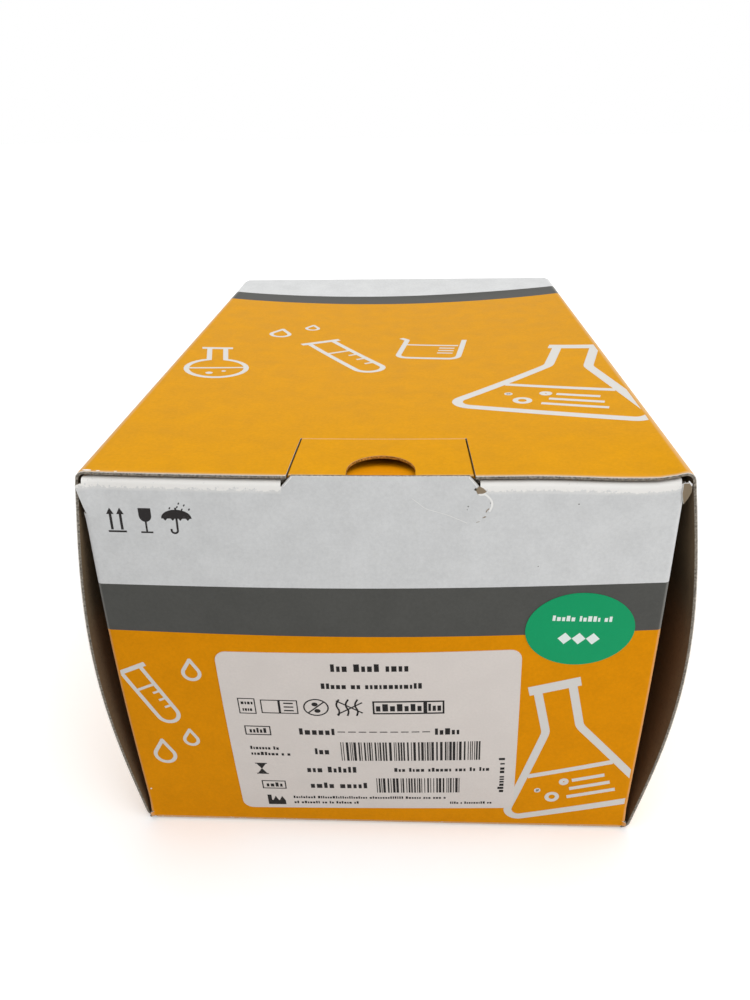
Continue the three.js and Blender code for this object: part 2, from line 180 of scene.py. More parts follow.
@dataclass(frozen=True)
class Bow:
    """How far the loose board has bowed out of true, in millimetres.

    Args:
        layout: Main planes of the carton.
        left_wall: Outward bow of the left wall at its free front edge.
        right_wall: Outward bow of the right wall at its free front edge.
        front_panel: Bulge of the closing panel at its middle.
        top_front: Sag of the top panel at its front edge.
        top_most: Sag of the top panel where it is deepest.
        panel_left: Spread of the closing panel's left side.
        panel_right: Spread of its right side.
        panel_lean: How far its upper left corner stands to the left.
        dent: Depth of the dent behind the top panel's right front corner.
    """

    layout: Layout
    left_wall: float = 6.4
    right_wall: float = 7.4
    front_panel: float = 3.4
    top_front: float = 1.2
    top_most: float = 3.9
    panel_left: float = 1.2
    panel_right: float = 0.5
    panel_lean: float = 1.1
    dent: float = 1.0

    def of_walls(self) -> list[Bend]:
        """What bends the side walls."""
        left, right = on_side(-1, self._wall), on_side(1, self._wall)
        return [("X", -self.left_wall, left), ("X", self.right_wall, right)]

    def of_top(self) -> Bend:
        """The sag of the top panel and of whatever lies on it."""
        return "Z", -self.top_most, self._sag

    def of_dent(self) -> Bend:
        """The dent at the top panel's right front corner."""
        return "Z", -self.dent, self._dip

    def of_panel(self) -> list[Bend]:
        """What bends the closing panel and whatever lies on it.

        Returns:
            The bends, in their order.
        """
        return [
            ("Y", -self.front_panel, self.bulge),
            self.of_top(),
            self.of_dent(),
            ("X", -self.panel_left, on_side(-1, self._spread)),
            ("X", self.panel_right, on_side(1, self._spread)),
            ("X", -self.panel_lean, self._lean),
        ]

    def _along(self, p: Vector) -> float:
        """Share of the depth from the front."""
        return clamp((p.y - self.layout.front) / (self.layout.back - self.layout.front))

    def _arch(self, p: Vector) -> float:
        """Arch over the height, 1 in the middle."""
        return math.sin(math.pi * clamp(p.z / self.layout.top))

    def _over(self, p: Vector) -> float:
        """Share that keeps the sag of the top panel to the top of the board."""
        return smooth(p.z, self.layout.top - 12, self.layout.top - 3)

    def _wall(self, p: Vector) -> float:
        """Share of a side wall's bow at a point.

        Args:
            p: Where on the flat board.

        Returns:
            The share.
        """
        hold = math.cos(math.pi / 2 * self._along(p)) ** 1.5
        reach = self.layout.side - abs(p.x)
        return self._arch(p) * hold * smooth(-reach, -6 * TUBE_FOLD, -TUBE_FOLD)

    def _sag(self, p: Vector) -> float:
        """Share of the top panel's deepest sag.

        Args:
            p: Where on the flat board.

        Returns:
            The share, from 0 to 1.
        """
        share = self._along(p)
        deepest = mix(self.top_front, self.top_most, smooth(share, 0, 0.6)) / self.top_most
        across = max(0.0, math.cos(math.pi * p.x / (2 * self.layout.side))) ** 0.8
        return deepest * (1 - smooth(share, 0.88, 1)) * across * self._over(p)

    def _dip(self, p: Vector) -> float:
        """Share of the dent at a point."""
        across = smooth(p.x, 34, 62) * (1 - smooth(p.x, 65.5, self.layout.side - 1.8))
        return across * (1 - smooth(p.y, self.layout.front, self.layout.front + 26)) * self._over(p)

    def bulge(self, p: Vector) -> float:
        """Share of the closing panel's bulge at a point."""
        return max(0.0, math.cos(math.pi / 2 * p.x / self.layout.panel_half)) * self._arch(p)

    def _spread(self, p: Vector) -> float:
        """Share of the sideways spread of the closing panel at a point."""
        return clamp(abs(p.x) / self.layout.panel_half) ** 2 * self._arch(p) ** 1.2

    def _lean(self, p: Vector) -> float:
        """Share of the closing panel's lean at a point, weaker on the right."""
        share = clamp(abs(p.x) / self.layout.panel_half) ** 2 * clamp(p.z / self.layout.top)
        return share * (1.0 if p.x < 0 else 0.45)


# ---------------------------------------------------------------- shaping board and paper


class Workpiece:
    """A sheet that is shaped in edit mode, in millimetres, and finished in metres."""

    def __init__(self, name: str, centre: Point, size: Pair, upright: bool = False) -> None:
        """Starts as one flat rectangle.

        Args:
            name: Name of the piece.
            centre: Middle of the rectangle.
            size: Its width, and its depth or height.
            upright: Whether it stands facing the front instead of lying face up.
        """
        if bpy.context.mode != "OBJECT":
            bpy.ops.object.mode_set(mode="OBJECT")
        bpy.ops.object.select_all(action="DESELECT")
        turn = (math.pi / 2, 0, 0) if upright else (0, 0, 0)
        bpy.ops.mesh.primitive_plane_add(size=1, location=centre, rotation=turn)
        self.item: bpy.types.Object = bpy.context.object
        self.item.name = name
        bpy.ops.object.transform_apply(location=True, rotation=True, scale=True)
        bpy.ops.object.mode_set(mode="EDIT")
        self.stretch((size[0], 1, size[1]) if upright else (size[0], size[1], 1), centre)

    def _select(self, kind: Pick, chosen: Callable[..., bool]) -> None:
        """Selects the corners, edges or faces that are chosen, and nothing else.

        Args:
            kind: What is selected.
            chosen: Says which of them.
        """
        bpy.ops.mesh.select_mode(type=kind.value)
        bpy.ops.mesh.select_all(action="DESELECT")
        sheet = bmesh.from_edit_mesh(self.item.data)
        sheet.verts.index_update()
        for part in {Pick.CORNERS: sheet.verts, Pick.EDGES: sheet.edges, Pick.FACES: sheet.faces}[kind]:
            if chosen(part):
                part.select_set(True)
        sheet.select_flush_mode()
        bmesh.update_edit_mesh(self.item.data)

    def pick(self, kind: Pick, test: Test) -> None:
        """Selects the corners, edges or faces whose corners all pass a test.

        Args:
            kind: What is selected.
            test: The test.
        """
        if kind is Pick.CORNERS:
            self._select(kind, lambda corner: test(corner.co))
        else:
            self._select(kind, lambda part: all(test(corner.co) for corner in part.verts))

    def pick_faces_at(self, test: Test) -> None:
        """Selects the faces whose centres pass a test."""
        self._select(Pick.FACES, lambda face: test(face.calc_center_median()))

    def run(self, dx: float = 0, dy: float = 0, dz: float = 0) -> None:
        """Extrudes the selected edge straight on."""
        bpy.ops.mesh.extrude_region_move(TRANSFORM_OT_translate={"value": (dx, dy, dz)})

    def fold(self, centre: Point, axis: Point, degrees: float, steps: int = 4) -> None:
        """Turns the selected edge right-handed round a fold's axis, leaving rounded board behind it."""
        bpy.ops.mesh.spin(steps=steps, angle=-math.radians(degrees), center=centre, axis=axis)

    def shift(self, dx: float = 0, dy: float = 0, dz: float = 0) -> None:
        """Moves what is selected."""
        bpy.ops.transform.translate(value=(dx, dy, dz))

    def move(self, test: Test, dx: float = 0, dy: float = 0, dz: float = 0) -> None:
        """Moves the corners that pass a test."""
        self.pick(Pick.CORNERS, test)
        self.shift(dx, dy, dz)

    def stretch(self, factors: Point, centre: Point) -> None:
        """Scales what is selected about a centre."""
        bpy.ops.transform.resize(value=factors, center_override=centre)

    def slit(self, place: Point, normal: Point) -> None:
        """Divides the selected faces along a plane."""
        bpy.ops.mesh.bisect(plane_co=place, plane_no=Vector(normal).normalized(), threshold=1e-3)

    def cut(self, axis: Point, *levels: float, faces: Test | None = None) -> None:
        """Divides the sheet along planes across an axis.

        Args:
            axis: The axis.
            levels: Where the planes cross it.
            faces: Which faces are divided, if not all.
        """
        for level in levels:
            if faces:
                self.pick(Pick.FACES, faces)
            else:
                bpy.ops.mesh.select_all(action="SELECT")
            self.slit(tuple(level * n for n in axis), axis)

    def grid(self, step: float, *spans: tuple[Point, float, float]) -> None:
        """Divides the whole sheet along planes a step apart, so that it can bow smoothly.

        Args:
            step: The spacing.
            spans: Axes, each with the ends of the stretch of it that is divided.
        """
        for axis, low, high in spans:
            lines = range(math.ceil(low / step), math.floor(high / step) + 1)
            self.cut(axis, *(k * step for k in lines))
        self.weld(2e-3)

    def trim(self, place: Point, outward: Point) -> None:
        """Cuts off what lies beyond a plane."""
        bpy.ops.mesh.select_all(action="SELECT")
        bpy.ops.mesh.bisect(plane_co=place, plane_no=outward, clear_outer=True)

    def weld(self, distance: float) -> None:
        """Merges corners that lie closer than a distance."""
        bpy.ops.mesh.select_all(action="SELECT")
        bpy.ops.mesh.remove_doubles(threshold=distance)

    def round_corner(self, test: Test, radius: float, segments: int) -> None:
        """Rounds the outline's corners that pass a test."""
        self.pick(Pick.CORNERS, test)
        bpy.ops.mesh.bevel(offset=radius, offset_type="OFFSET", segments=segments, affect="VERTICES")

    def modify(self, kind: str, **settings: object) -> None:
        """Adds a modifier and applies it.

        Args:
            kind: Its type.
            settings: Its settings by name.
        """
        bpy.ops.object.modifier_add(type=kind)
        modifier = self.item.modifiers[-1]
        for key, value in settings.items():
            setattr(modifier, key, value)
        bpy.ops.object.modifier_apply(modifier=modifier.name)

    def dress(self, finishes: list[Finish]) -> None:
        """Leaves edit mode and gives the piece its finishes, one slot each.

        Args:
            finishes: The finishes, in the order of the slots.
        """
        bpy.ops.object.mode_set(mode="OBJECT")
        for finish in finishes:
            self.item.data.materials.append(finish)

    def make_board(self, finishes: list[Finish], wear: Share) -> None:
        """Gives the folded sheet its finishes, its wear and its thickness, with raw edges all round.

        Args:
            finishes: One finish for each skin, in the order of Skin.
            wear: How worn the printed side is at each place.
        """
        self.dress(finishes)
        self._mark("wear", [wear(v.co) for v in self.item.data.vertices])
        self.modify(
            "SOLIDIFY", thickness=BOARD, offset=-1, use_even_offset=True, use_quality_normals=True,
            material_offset=Skin.GREY_BACK.value, material_offset_rim=Skin.RAW_EDGE.value,
        )

    def paint(self, field: Callable[[Vector], Skin]) -> None:
        """Prints the outer faces with the field that each lies in, and marks the printed side.

        Args:
            field: Names the field at a place.
        """
        for skin in (Skin.WHITE, Skin.BAND):
            bpy.ops.object.mode_set(mode="EDIT")
            self._select(
                Pick.FACES,
                lambda f: f.material_index == Skin.ORANGE.value and field(f.calc_center_median()) is skin,
            )
            self.item.active_material_index = skin.value
            bpy.ops.object.material_slot_assign()
            bpy.ops.object.mode_set(mode="OBJECT")
        self.mark_skin()

    def _mark(self, name: str, values: list[float]) -> None:
        """Writes a number at each corner, for a finish to read."""
        self.item.data.attributes.new(name, "FLOAT", "POINT").data.foreach_set("value", values)

    def mark_skin(self) -> None:
        """Marks the corners on the printed side, so that raw edges can show the board's layers."""
        sheet, unprinted = self.item.data, (Skin.GREY_BACK.value, Skin.RAW_EDGE.value)
        outer = {i for f in sheet.polygons if f.material_index not in unprinted for i in f.vertices}
        self._mark("skin", [float(i in outer) for i in range(len(sheet.vertices))])

    def bow(self, *bends: Bend) -> None:
        """Displaces the piece.

        Args:
            bends: Each an axis, a reach along it, and each corner's share of the reach.
        """
        for axis, reach, share in bends:
            group = self.item.vertex_groups.new(name="bow")
            for corner in self.item.data.vertices:
                weight = share(corner.co)
                if weight > 0:
                    group.add([corner.index], weight, "REPLACE")
            self.modify("DISPLACE", direction=axis, mid_level=0, strength=reach, vertex_group=group.name)
            self.item.vertex_groups.clear()

    def finish(self, body: str, slot: str, *stands_for: str, smooth_below: float = 35) -> bpy.types.Object:
        """Scales the piece to metres and puts it on its body.

        Args:
            body: CAD body that it rides on, or an empty string.
            slot: Material slot of the record; not used.
            stands_for: CAD nodes that it replaces.
            smooth_below: Edges that turn less than this many degrees are shaded smooth.

        Returns:
            The finished object.
        """
        self.item.scale = (MM, MM, MM)
        bpy.ops.object.transform_apply(location=True, rotation=True, scale=True)
        bpy.ops.object.shade_smooth_by_angle(angle=math.radians(smooth_below))
        if body:
            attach(self.item, body)
        if stands_for:
            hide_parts(*stands_for)
        log.info("%s: %d faces", self.item.name, len(self.item.data.polygons))
        return self.item


class Artwork(Workpiece):
    """Flat printed shapes, drawn face up and then laid on a panel."""

    def __init__(self, name: str) -> None:
        """Starts as an empty sheet; edit mode is entered anew, so that new corners keep their order.

        Args:
            name: Name of the piece.
        """
        super().__init__(name, (0, 0, 0), (1, 1))
        bpy.ops.mesh.delete(type="VERT")
        bpy.ops.object.mode_set(mode="OBJECT")
        bpy.ops.object.mode_set(mode="EDIT")

    def bar(self, u: float, v: float, width: float, height: float, degrees: float = 0) -> None:
        """Adds a filled rectangle centred on (u, v).

        Args:
            u: Its middle.
            v: Its middle.
            width: Its width.
            height: Its height.
            degrees: Its turn, anticlockwise.
        """
        bpy.ops.mesh.primitive_plane_add(size=1, location=(u, v, 0))
        self.stretch((width, height, 1), (u, v, 0))
        if degrees:
            self.turn(degrees, u, v)

    def turn(self, degrees: float, u: float, v: float) -> None:
        """Turns what is selected anticlockwise about (u, v)."""
        angle = -math.radians(degrees)
        bpy.ops.transform.rotate(value=angle, orient_axis="Z", center_override=(u, v, 0))

    def count(self) -> int:
        """Number of corners drawn so far."""
        return len(bmesh.from_edit_mesh(self.item.data).verts)

    def tilt(self, first: int, degrees: float, u: float, v: float) -> None:
        """Turns what was drawn after a count was taken anticlockwise about (u, v)."""
        self._select(Pick.CORNERS, lambda corner: corner.index >= first)
        self.turn(degrees, u, v)

    def polygon(self, u: float, v: float, width: float, height: float, sides: int) -> None:
        """Adds a filled polygon with its corners on an ellipse of twice the width and height."""
        bpy.ops.mesh.primitive_circle_add(vertices=sides, radius=1, fill_type="NGON", location=(u, v, 0))
        self.stretch((width, height, 1), (u, v, 0))

    def disc(self, u: float, v: float, width: float, height: float, sides: int = 32) -> None:
        """Adds a filled ellipse."""
        self.polygon(u, v, width / 2, height / 2, sides)

    def wedge(self, u: float, v: float, width: float, height: float, degrees: float = 0) -> None:
        """Adds a filled triangle on the middle of its base (u, v), pointing up before it is turned.

        Args:
            u: Middle of its base.
            v: Middle of its base.
            width: Its width.
            height: Its height.
            degrees: Its turn about the middle of its base, anticlockwise.
        """
        first = self.count()
        self.polygon(u, v + height / 3, width / math.sqrt(3), height / 1.5, 3)
        if degrees:
            self.tilt(first, degrees, u, v)

    def patch(self, *corners: Pair) -> None:
        """Adds a filled outline through the given corners, listed anticlockwise.

        Args:
            corners: Each corner's u and v.
        """
        first = self.count()
        bpy.ops.mesh.primitive_circle_add(vertices=len(corners), radius=1, fill_type="NGON")
        places = [corner.co.copy() for corner in bmesh.from_edit_mesh(self.item.data).verts]
        for k, (u, v) in enumerate(corners, first):
            self._select(Pick.CORNERS, lambda corner: corner.index == k)
            self.shift(u - places[k].x, v - places[k].y)

    def hollow(self, line: float) -> None:
        """Leaves only the outline of the shape that was drawn last."""
        bpy.ops.mesh.inset(thickness=line)
        bpy.ops.mesh.delete(type="FACE")

    def ring(self, u: float, v: float, width: float, height: float, line: float) -> None:
        """Adds the outline of an ellipse, drawn with a line of a given width."""
        self.disc(u, v, width, height, 48)
        self.hollow(line)

    def frame_box(self, u: float, v: float, width: float, height: float, line: float) -> None:
        """Adds the outline of a rectangle."""
        self.bar(u, v, width, height)
        self.hollow(line)

    def stroke(self, u: float, v: float, heading: float, line: float, *moves: float | Pair) -> None:
        """Draws a line of a given width as a pen would.

        Args:
            u: Start of the line.
            v: Start of the line.
            heading: Direction in degrees, anticlockwise from +u.
            line: Width of the line.
            moves: A number for a straight run, or a radius and an angle to the left for a bend.
        """
        self.bar(u, v, 0.02, line, heading)
        place, ahead = Vector((u, v, 0)), direction(heading)
        tip = place + ahead * 0.01
        level: Test = lambda p: near((p - tip).dot(ahead), 0, 4e-3)
        self.pick(Pick.EDGES, lambda p: near((p - tip).length, line / 2, 1e-3) and level(p))
        for move in moves:
            along = direction(heading)
            if isinstance(move, tuple):
                radius, degrees = move
                left = Vector((-along.y, along.x, 0))
                centre = place + left * radius * math.copysign(1, degrees)
                self.fold(centre, Z, degrees, max(3, round(abs(degrees) / 12)))
                place = centre + Matrix.Rotation(math.radians(degrees), 3, "Z") @ (place - centre)
                heading += degrees
            else:
                self.run(*(along * move))
                place += along * move

    def words(self, u: float, v: float, length: float, height: float, seed: int) -> None:
        """Adds a line of small blocks with the rhythm of words.

        Args:
            u: Where it begins.
            v: Its base line.
            length: The length that it fills.
            height: Height of the tallest blocks.
            seed: What its rhythm is drawn from.
        """
        draw = random.Random(seed)
        blocks, total = [], 0.0
        while total < length:
            width, gap = draw.uniform(0.32, 0.62), 0.7 if blocks and draw.random() < 0.17 else 0.22
            blocks.append((width * height, gap * height, height * draw.choice((0.72, 0.72, 1.0))))
            total += (width + gap) * height
        fit = length / (total - blocks[-1][1])
        for width, gap, tall in blocks:
            self.bar(u + width * fit / 2, v + tall / 2, width * fit, tall)
            u += (width + gap) * fit

    def bar_code(self, u: float, v: float, length: float, height: float, seed: int) -> None:
        """Adds a row of upright bars of mixed widths.

        Args:
            u: Its lower left corner.
            v: Its lower left corner.
            length: Its length.
            height: Its height.
            seed: What the widths are drawn from.
        """
        draw = random.Random(seed)
        end = u + length
        while u < end:
            width = draw.choice((0.24, 0.24, 0.46, 0.7))
            self.bar(u + width / 2, v + height / 2, width, height)
            u += width + draw.choice((0.26, 0.4, 0.62))

    def lay(self, place: Point, degrees: float = 0, upright: bool = False) -> None:
        """Turns the drawing in its plane and lays it on a panel.

        Args:
            place: Where the drawing's origin goes.
            degrees: Turn in the plane, anticlockwise.
            upright: Whether the panel stands facing the front.
        """
        bpy.ops.object.mode_set(mode="OBJECT")
        self.item.data.transform(Matrix.Rotation(math.radians(degrees), 4, "Z"))
        self.item.rotation_euler = (math.pi / 2 if upright else 0, 0, 0)
        self.item.location = place
        bpy.ops.object.transform_apply(location=True, rotation=True, scale=True)
        bpy.ops.object.mode_set(mode="EDIT")


# ---------------------------------------------------------------- the carton's pieces


def field_at(level: float, left: Pair, right: Pair, across: float) -> Skin:
    """Printed field at a level: orange, then the slanted band, then white.

    Args:
        level: The place along the carton.
        left: Where the band begins and ends at the left.
        right: The same at the right.
        across: Share of the way from left to right.

    Returns:
        The field.
    """
    low, high = (mix(a, b, across) for a, b in zip(left, right))
    return Skin.WHITE if level > high else Skin.BAND if level > low else Skin.ORANGE


@dataclass
class Piece:
    """Something made for the carton.

    Args:
        layout: Main planes of the carton.
        bow: How the board has bowed.
    """

    layout: Layout
    bow: Bow


@dataclass
class PrintedTube(Piece):
    """The tube of the carton, its glued back end and the fold that carries the closing panel.

    Args:
        finishes: One finish for each skin, in the order of Skin.
        lap: Width of the glued lap inside the lower left fold.
        dust_flap: Length of the back dust flaps.
        pitch: Distance between the faces of boards that are glued together.
        kerf: Width of the cut round the thumb tab.
        band_left: Y of the printed band's near and far edges at the left wall.
        band_right: The same at the right wall.
        band_height: Z of the band's lower and upper edges on the back end.
    """

    finishes: list[Finish]
    lap: float = 16.0
    dust_flap: float = 48.0
    pitch: float = BOARD - 0.04
    kerf: float = 0.45
    band_left: Pair = (69.3, 82.2)
    band_right: Pair = (74.9, 88.6)
    band_height: Pair = (72.0, 86.0)

    def __post_init__(self) -> None:
        """Works out where the flat board begins and ends."""
        self.flat = self.layout.side - TUBE_FOLD
        self.upper = self.layout.top - TUBE_FOLD
        self.start = self.layout.front + 0.3
        self.end = self.layout.back - 2 * self.pitch - FLAP_FOLD

    def build(self) -> None:
        """Makes the tube."""
        lay = self.layout
        middle = (0, (self.start + self.end) / 2, lay.top)
        tube = Workpiece("printed_tube", middle, (2 * self.flat, self.end - self.start))
        self._wrap(tube)
        self._front_fold(tube)
        self._dust_flaps(tube)
        self._back_flaps(tube)
        self._cut_window(tube)
        self._cut_zone_lines(tube)
        rub = TUBE_FOLD + 1.0
        tube.cut(X, lay.side - rub, rub - lay.side)
        tube.cut(Y, self.start + 1.15)
        tube.cut(Z, lay.top - rub, rub)
        tube.grid(GRID, (X, -lay.side, lay.side), (Y, lay.front, lay.back), (Z, 0, lay.top))
        tube.make_board(self.finishes, self._wear)
        tube.paint(self._field)
        tube.bow(*self.bow.of_walls(), self.bow.of_top(), self.bow.of_dent())
        tube.finish("carton", "printed_board", "carton_body")

    def _wrap(self, tube: Workpiece) -> None:
        """Folds the strip of board round from the top panel to the bottom and the glued lap.

        Args:
            tube: The board that is folded.
        """
        flat, upper, inset = self.flat, self.upper, self.layout.panel_flat
        lap_level = BOARD + TUBE_FOLD
        tube.pick(Pick.EDGES, lambda p: p.x < 0.1 - flat)
        tube.fold((-flat, 0, upper), Y, -90)
        tube.run(dz=lap_level - upper)
        tube.fold((-flat, 0, lap_level), Y, -90)
        tube.run(dx=2)
        tube.run(dx=self.lap - 2)
        tube.move(lambda p: p.y < self.start + 0.1 and p.z < 1 and p.x > 1 - flat, dy=3.9)
        tube.move(lambda p: p.y < 0 and p.z < 1 and p.x > 3 - flat, dy=10)
        tube.pick(Pick.EDGES, lambda p: p.x > flat - 0.1)
        tube.fold((flat, 0, upper), Y, 90)
        tube.run(dz=TUBE_FOLD - upper)
        tube.fold((flat, 0, TUBE_FOLD), Y, 90)
        for run in (inset - flat, -2 * inset, inset - self.layout.side + BOARD / 2):
            tube.run(dx=run)

    def _front_fold(self, tube: Workpiece) -> None:
        """Turns the bottom panel's front edge up, ready for the closing panel.

        Args:
            tube: The board that is folded.
        """
        fold, reach = self.layout.front + FLAP_FOLD, self.layout.panel_flat + 0.1
        tube.pick(Pick.EDGES, lambda p: p.y < self.start + 0.1 and abs(p.x) < reach and p.z < 0.1)
        tube.shift(dy=fold - self.start)
        tube.fold((0, fold, FLAP_FOLD), X, -90)

    def _dust_flaps(self, tube: Workpiece) -> None:
        """Folds the two dust flaps in from the side walls.

        Args:
            tube: The board that is folded.
        """
        lay, end = self.layout, self.end
        for hand, low in ((-1, BOARD + TUBE_FOLD), (1, TUBE_FOLD)):
            at_wall: Test = lambda p: p.y > end - 0.1 and p.x * hand > lay.side - 0.1
            tube.pick(Pick.EDGES, lambda p: at_wall(p) and p.z > low - 0.1)
            tube.fold((hand * (lay.side - FLAP_FOLD), end, 0), Z, 90 * hand)
            tube.run(dx=-hand * (self.dust_flap - FLAP_FOLD))
            tip: Test = lambda p: near(p.x, hand * (lay.side - self.dust_flap), 0.1) and p.y > end
            tube.pick(Pick.EDGES, tip)
            height = self.upper - low
            tube.stretch((1, 1, 1 - 12 / height), (0, 0, low + height / 2))
            tube.round_corner(tip, 5, 4)

    def _back_flaps(self, tube: Workpiece) -> None:
        """Folds the inner back flap up from the bottom and the outer one down from the top.

        Args:
            tube: The board that is folded.
        """
        lay, end = self.layout, self.end
        inner, outer = lay.back - self.pitch - FLAP_FOLD, lay.back - FLAP_FOLD
        at_end: Test = lambda p: near(p.y, end, 0.1)
        tube.pick(Pick.EDGES, lambda p: at_end(p) and abs(p.x) < lay.panel_flat + 0.1 and p.z < 0.1)
        tube.run(dy=inner - end)
        tube.fold((0, inner, FLAP_FOLD), X, 90)
        tube.run(dz=lay.top - 2.0 - FLAP_FOLD)
        tube.pick(Pick.EDGES, lambda p: at_end(p) and p.z > lay.top - 0.1)
        tube.run(dy=outer - end)
        tube.fold((0, outer, lay.top - FLAP_FOLD), X, -90)
        tube.run(dz=-0.3)
        tube.stretch(((lay.side - 0.6) / self.flat, 1, 1), (0, 0, 0))
        tube.run(dz=0.3 + FLAP_FOLD + 0.8 - lay.top)

    def _cut_window(self, tube: Workpiece) -> None:
        """Cuts the thumb tab's window out of the top panel.

        Args:
            tube: The board that is folded.
        """
        lay = self.layout
        on_top: Test = lambda p: p.z > lay.top - 0.01
        rear, half_rear = lay.tab_rear + CREASE, lay.tab_half + self.kerf - lay.tab_taper
        for hand in (-1, 1):
            tube.pick(Pick.FACES, on_top)
            tube.slit((hand * half_rear, rear, lay.top), (rear - lay.front + 1, hand * lay.tab_taper, 0))
        tube.cut(Y, rear, faces=on_top)
        tube.pick_faces_at(lambda p: on_top(p) and p.y < rear and abs(p.x) < lay.tab_half - 1)
        bpy.ops.mesh.delete(type="FACE")

    def _cut_zone_lines(self, tube: Workpiece) -> None:
        """Divides the board along the edges of the printed fields.

        Args:
            tube: The board that is folded.
        """
        lay = self.layout
        for left, right in zip(self.band_left, self.band_right):
            tube.pick(Pick.FACES, lambda p: p.z > self.upper - 0.1 and p.y < self.end + 1.6)
            tube.slit((-lay.side, left, lay.top), (left - right, 2 * lay.side, 0))
            for hand, level in ((-1, left), (1, right)):
                on_wall: Test = lambda p: p.x * hand > self.flat - 0.1 and p.z < self.upper + 0.1
                tube.cut(Y, level, faces=on_wall)
        tube.cut(Z, *self.band_height, faces=lambda p: p.y > lay.back - 0.1)
        tube.weld(2e-3)

    def _field(self, p: Vector) -> Skin:
        """Printed field of the flat board.

        Args:
            p: Where on the board.

        Returns:
            The field.
        """
        if p.y > self.layout.back - 0.1:
            return field_at(p.z, self.band_height, self.band_height, 0)
        if p.z < TUBE_FOLD:
            return Skin.ORANGE
        side = self.layout.side
        return field_at(p.y, self.band_left, self.band_right, clamp((p.x + side) / (2 * side)))

    def _wear(self, p: Vector) -> float:
        """Wear of the printed side: strongest along the folds and the raw front edge.

        Args:
            p: Where on the flat board.

        Returns:
            The wear, from 0 to 1.
        """
        far_x, far_z = self.layout.side - abs(p.x), self.layout.top - p.z
        folds = (far_x, far_z), (far_x, p.z), (self.layout.back - p.y, far_z)
        fold = max(1 - smooth(math.hypot(*place), 0.8, 2.6) for place in folds)
        return max(0.47 * fold, 0.56 * (1 - smooth(p.y - self.start, 0.0, 1.1)))


